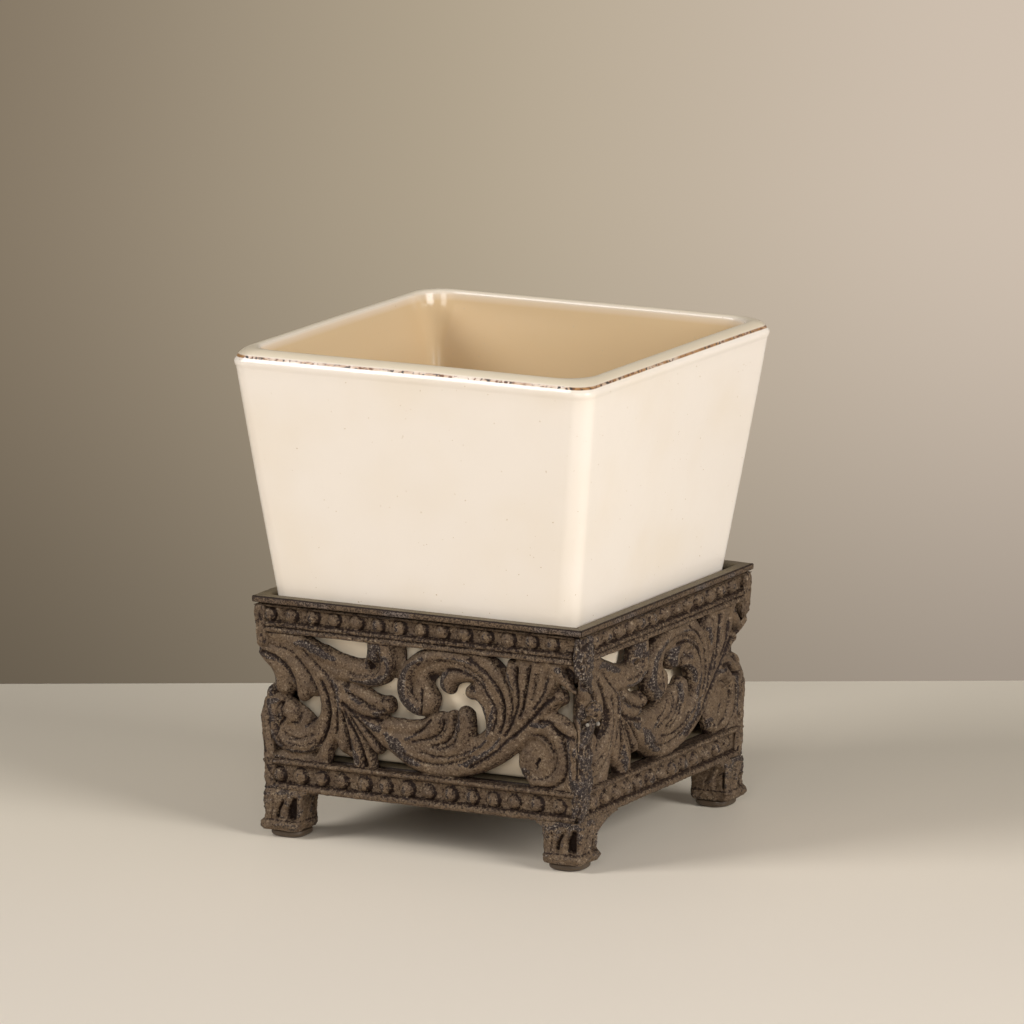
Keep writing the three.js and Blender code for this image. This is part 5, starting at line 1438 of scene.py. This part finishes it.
def weld_part(stand, sections, seed, rough):
    """A column along the leaning corner, pushed out by noise.

    Its section at each height is a superellipse, radius = (|cos| ** n + |sin| ** n) ** (-1 / n).
    """
    sections = np.array(sections, float)
    rows, around = int((sections[-1, 0] - sections[0, 0]) / 0.2), 84
    z = np.linspace(sections[0, 0], sections[-1, 0], rows)[:, None]
    along, thick, wide, square = (np.interp(z, sections[:, 0], sections[:, column]) for column in range(1, 5))
    turn = np.linspace(0, 2 * np.pi, around, endpoint=False)[None]
    cosine, sine = np.cos(turn), np.sin(turn)
    shape = (np.abs(cosine) ** square + np.abs(sine) ** square) ** (-1 / square)
    fine, tile, coarse = (
        grain((rows, around * 3), radius, seed + place)[:, around:2 * around]
        for place, radius in enumerate((1.5, 2.4, 6.0))
    )
    push = rough * (0.08 * fine + 0.15 * tile + 0.24 * coarse) + 0.10 * np.cos(turn * 9 + 0.6) * (1 - rough)
    push = (push + 0.03 * fine) * np.clip(thick, 0, 1)
    ends = np.sqrt(np.clip(1 - np.abs(np.linspace(-1, 1, rows)[:, None]) ** 14, 0.1, 1))
    centre = panel_face(stand, z) - np.where(rough > 0.5, 1.2, 1.5)
    x = centre + (thick * shape + push) * cosine * ends
    y = -centre + along + (wide * shape + push) * sine * ends
    rub = np.clip(0.25 + 0.45 * rough + 0.22 * tile + 0.15 * coarse, 0, 0.95) * (0.3 + 0.7 * rough)
    # Dents between the lumps are painted darker: dark patina and painted shade
    hollow = smooth_step(0.4, 1.6, -tile - 0.7 * coarse) * (0.3 + 0.7 * rough)
    return np.stack([x, y, np.broadcast_to(z, x.shape)], -1), {"rub": rub, "hollow": hollow, "bright": 0.0}


def weld_ball(stand, z, along, radius, proud, seed, bright):
    """A round drop on the right-hand panel near its left end: radius * (sin, cos) of the height angle, roughened."""
    rise = np.linspace(-np.pi / 2, np.pi / 2, 34)[1:-1, None]
    turn = np.linspace(0, 2 * np.pi, 48, endpoint=False)[None]
    tile = grain((32, 144), 1.8, seed)[:, 48:96] * (1 - bright)
    reach = radius + 0.12 * tile
    level_reach = reach * np.cos(rise)
    face = panel_face(stand, z)
    rings = np.stack([
        face + proud + level_reach * np.cos(turn), -face + along + level_reach * np.sin(turn),
        z + reach * np.sin(rise) * np.ones_like(turn),
    ], -1)
    rub = np.clip(0.45 + 0.3 * tile, 0, 0.9)
    # Dents in the drop are painted darker: dark patina and painted shade
    return rings, {"rub": rub, "hollow": smooth_step(0.6, 1.8, -tile), "bright": bright}


def make_welds():
    """A long weld above and beside the bottom rail, and a short one at the top rail, at each corner.

    The weld at the front right corner is the rough one. It spreads along the right-hand panel and ends in a ball
    with two drops under it, painted bright as painted glints.
    """
    stand = bpy.context.scene.pen_holder_stand
    material = weld_bead_metal(stand)
    for turns, corner in enumerate(CORNERS):
        rough = corner == "front_right"
        for name, seed, quiet_sections, rough_sections in (
            ("lower", 61, LOWER_WELD, ROUGH_LOWER_WELD), ("upper", 71, UPPER_WELD, ROUGH_UPPER_WELD),
        ):
            sections, strength = (rough_sections, 1.0) if rough else (quiet_sections, 0.3)
            parts = [weld_part(stand, sections, seed + 10 * turns, strength)]
            if rough and name == "lower":
                parts += [weld_ball(stand, *drop) for drop in WELD_DROPS]
            points, quads, caps, attributes = joined(parts)
            piece = piece_from(
                f"{name}_weld_bead_{corner}", turned(points, turns), quads, caps, material, attributes, sharp=70
            )
            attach(piece, "stand")
            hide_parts(f"{name}_weld_{corner}")


# Stage

# The camera, fitted to points of the object in the photograph: angles, lens in millimetres, and lengths in metres
VIEW_AZIMUTH = math.radians(28.403)
VIEW_ELEVATION = math.radians(11.458)
VIEW_DISTANCE = 2.7975
VIEW_ROLL = math.radians(-0.177)
VIEW_LENS = 368.2
VIEW_HEIGHT = 0.08413
AIM_ASIDE = 0.00205
# The backdrop's place behind the middle, its reach to each side and upwards, and the table's reach, in metres
WALL_BEHIND = 0.171
WALL_REACH = 1.5
TABLE_REACH = 3.0


def look_at(item, place, target, roll=0.0):
    """Puts an object at a place with its -Z axis towards a target."""
    turn = (Vector(target) - Vector(place)).to_track_quat("-Z", "Y").to_matrix().to_4x4()
    item.matrix_world = Matrix.Translation(place) @ turn @ Matrix.Rotation(roll, 4, "Z")


def add_lamp(name, place, size, watts):
    """A square soft lamp that looks at the middle of the object."""
    data = bpy.data.lights.new(name, "AREA")
    data.shape = "SQUARE"
    data.size = size
    data.energy = watts
    lamp = bpy.data.objects.new(name, data)
    bpy.context.scene.collection.objects.link(lamp)
    look_at(lamp, place, (0.0, 0.0, 0.06))


def make_stage():
    """A pale table, a plain backdrop that shows only from its front, three soft lamps, even light and the camera."""
    scene = bpy.context.scene
    stage = scene.pen_holder_stage
    up = np.array([0.0, 0.0, 1.0])
    back = np.array([-math.sin(VIEW_AZIMUTH), math.cos(VIEW_AZIMUTH), 0.0])
    aside = np.array([math.cos(VIEW_AZIMUTH), math.sin(VIEW_AZIMUTH), 0.0])

    material, tree = new_material("pale_table_top")
    # Towards the backdrop the table top is painted a little warmer, as painted light
    base = coated(tree, stage.floor, (stage.floor_far, distance_along(tree, back), (-0.17, 0.10)))
    finish_material(tree, base, roughness=0.55)
    reach = TABLE_REACH / MM
    corners = np.array([[-reach, -reach, 0], [reach, -reach, 0], [reach, reach, 0], [-reach, reach, 0]])
    floor = piece_from("table_top", corners, [[0, 1, 2, 3]], [], material)

    # The backdrop is bright only to what looks at it, so it throws no light on the object
    material, tree = new_material("painted_backdrop")
    # The backdrop's paint is painted light: darker at its left, lighter at its right, and dimmer towards the table
    side = distance_along(tree, aside)
    paint = coated(
        tree, stage.wall_dark, (stage.wall_middle, side, (-0.19, 0.04)), (stage.wall_light, side, (-0.03, 0.16))
    )
    strength = pattern(tree, distance_along(tree, up), (-0.05, 0.15))
    strength = add_node(tree, "ShaderNodeMath", {0: strength, 1: 0.5, 2: 0.5}, operation="MULTIPLY_ADD")
    glow = add_node(tree, "ShaderNodeEmission", {"Color": paint, "Strength": strength})
    ray = add_node(tree, "ShaderNodeLightPath").node.outputs
    seen = ray["Is Camera Ray"]
    for other in ("Is Glossy Ray", "Is Transmission Ray"):
        seen = add_node(tree, "ShaderNodeMath", {0: seen, 1: ray[other]}, operation="MAXIMUM")
    behind = add_node(tree, "ShaderNodeNewGeometry", output="Backfacing")
    seen = add_node(tree, "ShaderNodeMath", {0: seen, 1: behind}, operation="SUBTRACT", use_clamp=True)
    clear = add_node(tree, "ShaderNodeBsdfTransparent")
    both = add_node(tree, "ShaderNodeMixShader", {0: seen, 1: clear, 2: glow})
    add_node(tree, "ShaderNodeOutputMaterial", {"Surface": both})
    foot = back * WALL_BEHIND / MM
    reach, rise = aside * WALL_REACH / MM, up * WALL_REACH / MM
    corners = np.array([foot - reach, foot + reach, foot + reach + rise, foot - reach + rise])
    wall = piece_from("backdrop", corners, [[0, 1, 2, 3]], [], material)

    world = bpy.data.worlds.new("even_studio_light")
    world.use_nodes = True
    scene.world = world
    tree = world.node_tree
    tree.nodes.clear()
    soft = add_node(tree, "ShaderNodeBackground", {"Color": linear("#fffdfa"), "Strength": stage.world_light})
    add_node(tree, "ShaderNodeOutputWorld", {"Surface": soft})

    add_lamp("key_softbox", (-0.80, -0.90, 0.85), 0.6, stage.key_power)
    add_lamp("fill_softbox", (1.30, -0.30, 0.62), 0.7, stage.fill_power)
    add_lamp("front_softbox", (0.52, -1.25, 0.48), 0.5, stage.front_power)

    data = bpy.data.cameras.new("photograph_angle")
    data.lens = VIEW_LENS
    data.sensor_width = 36.0
    data.clip_end = 100.0
    camera = bpy.data.objects.new("photograph_angle", data)
    scene.collection.objects.link(camera)
    aim = up * VIEW_HEIGHT
    towards = up * math.sin(VIEW_ELEVATION) - back * math.cos(VIEW_ELEVATION)
    look_at(camera, tuple(aim + towards * VIEW_DISTANCE), tuple(aim + aside * AIM_ASIDE), VIEW_ROLL)
    scene.camera = camera
    scene.view_settings.view_transform = "Standard"


# Operators and panel


class PENHOLDER_OT_stage(bpy.types.Operator):
    """Adds the table, the backdrop, the lamps and the camera"""

    bl_idname = "pen_holder.stage"
    bl_label = "Stage"

    def execute(self, context):
        make_stage()
        return {"FINISHED"}


class PENHOLDER_OT_cup(bpy.types.Operator):
    """Adds the glazed cup"""

    bl_idname = "pen_holder.cup"
    bl_label = "Glazed Cup"

    def execute(self, context):
        make_cup()
        return {"FINISHED"}


class PENHOLDER_OT_panels(bpy.types.Operator):
    """Adds the four cast openwork panels"""

    bl_idname = "pen_holder.panels"
    bl_label = "Cast Panels"

    def execute(self, context):
        make_panels()
        return {"FINISHED"}


class PENHOLDER_OT_top_bars(bpy.types.Operator):
    """Adds the frame of flat bar around the cup"""

    bl_idname = "pen_holder.top_bars"
    bl_label = "Top Frame"

    def execute(self, context):
        make_top_bars()
        return {"FINISHED"}


class PENHOLDER_OT_ledge_bars(bpy.types.Operator):
    """Adds the ledge that carries the cup"""

    bl_idname = "pen_holder.ledge_bars"
    bl_label = "Ledge"

    def execute(self, context):
        make_ledge_bars()
        return {"FINISHED"}


class PENHOLDER_OT_feet(bpy.types.Operator):
    """Adds the four cast feet"""

    bl_idname = "pen_holder.feet"
    bl_label = "Cast Feet"

    def execute(self, context):
        make_feet()
        return {"FINISHED"}


class PENHOLDER_OT_pads(bpy.types.Operator):
    """Adds the rubber pads under the feet"""

    bl_idname = "pen_holder.pads"
    bl_label = "Rubber Pads"

    def execute(self, context):
        make_pads()
        return {"FINISHED"}


class PENHOLDER_OT_welds(bpy.types.Operator):
    """Adds the welds at the corners of the stand"""

    bl_idname = "pen_holder.welds"
    bl_label = "Welds"

    def execute(self, context):
        make_welds()
        return {"FINISHED"}


OPERATORS = (
    PENHOLDER_OT_stage,
    PENHOLDER_OT_cup,
    PENHOLDER_OT_panels,
    PENHOLDER_OT_top_bars,
    PENHOLDER_OT_ledge_bars,
    PENHOLDER_OT_feet,
    PENHOLDER_OT_pads,
    PENHOLDER_OT_welds,
)


class PENHOLDER_PT_pieces(bpy.types.Panel):
    """Lists the pieces and their settings in the sidebar"""

    bl_label = "Pen Holder"
    bl_space_type = "VIEW_3D"
    bl_region_type = "UI"
    bl_category = "Pen Holder"

    def draw(self, context):
        layout = self.layout
        for operator in OPERATORS:
            layout.operator(operator.bl_idname)
        for group in (context.scene.pen_holder_cup, context.scene.pen_holder_stand, context.scene.pen_holder_stage):
            box = layout.box()
            for key in group.__annotations__:
                box.prop(group, key)


CLASSES = (CupSettings, StandSettings, StageSettings) + OPERATORS + (PENHOLDER_PT_pieces,)


def register():
    """Registers the classes and puts the settings on the scene."""
    for item in CLASSES:
        bpy.utils.register_class(item)
    bpy.types.Scene.pen_holder_cup = PointerProperty(type=CupSettings)
    bpy.types.Scene.pen_holder_stand = PointerProperty(type=StandSettings)
    bpy.types.Scene.pen_holder_stage = PointerProperty(type=StageSettings)


def unregister():
    """Takes the settings off the scene and removes the classes."""
    del bpy.types.Scene.pen_holder_stage
    del bpy.types.Scene.pen_holder_stand
    del bpy.types.Scene.pen_holder_cup
    for item in reversed(CLASSES):
        bpy.utils.unregister_class(item)


def main():
    """Builds every piece."""
    register()
    for operator in OPERATORS:
        group, name = operator.bl_idname.split(".")
        getattr(getattr(bpy.ops, group), name)()


if __name__ == "__main__":
    main()
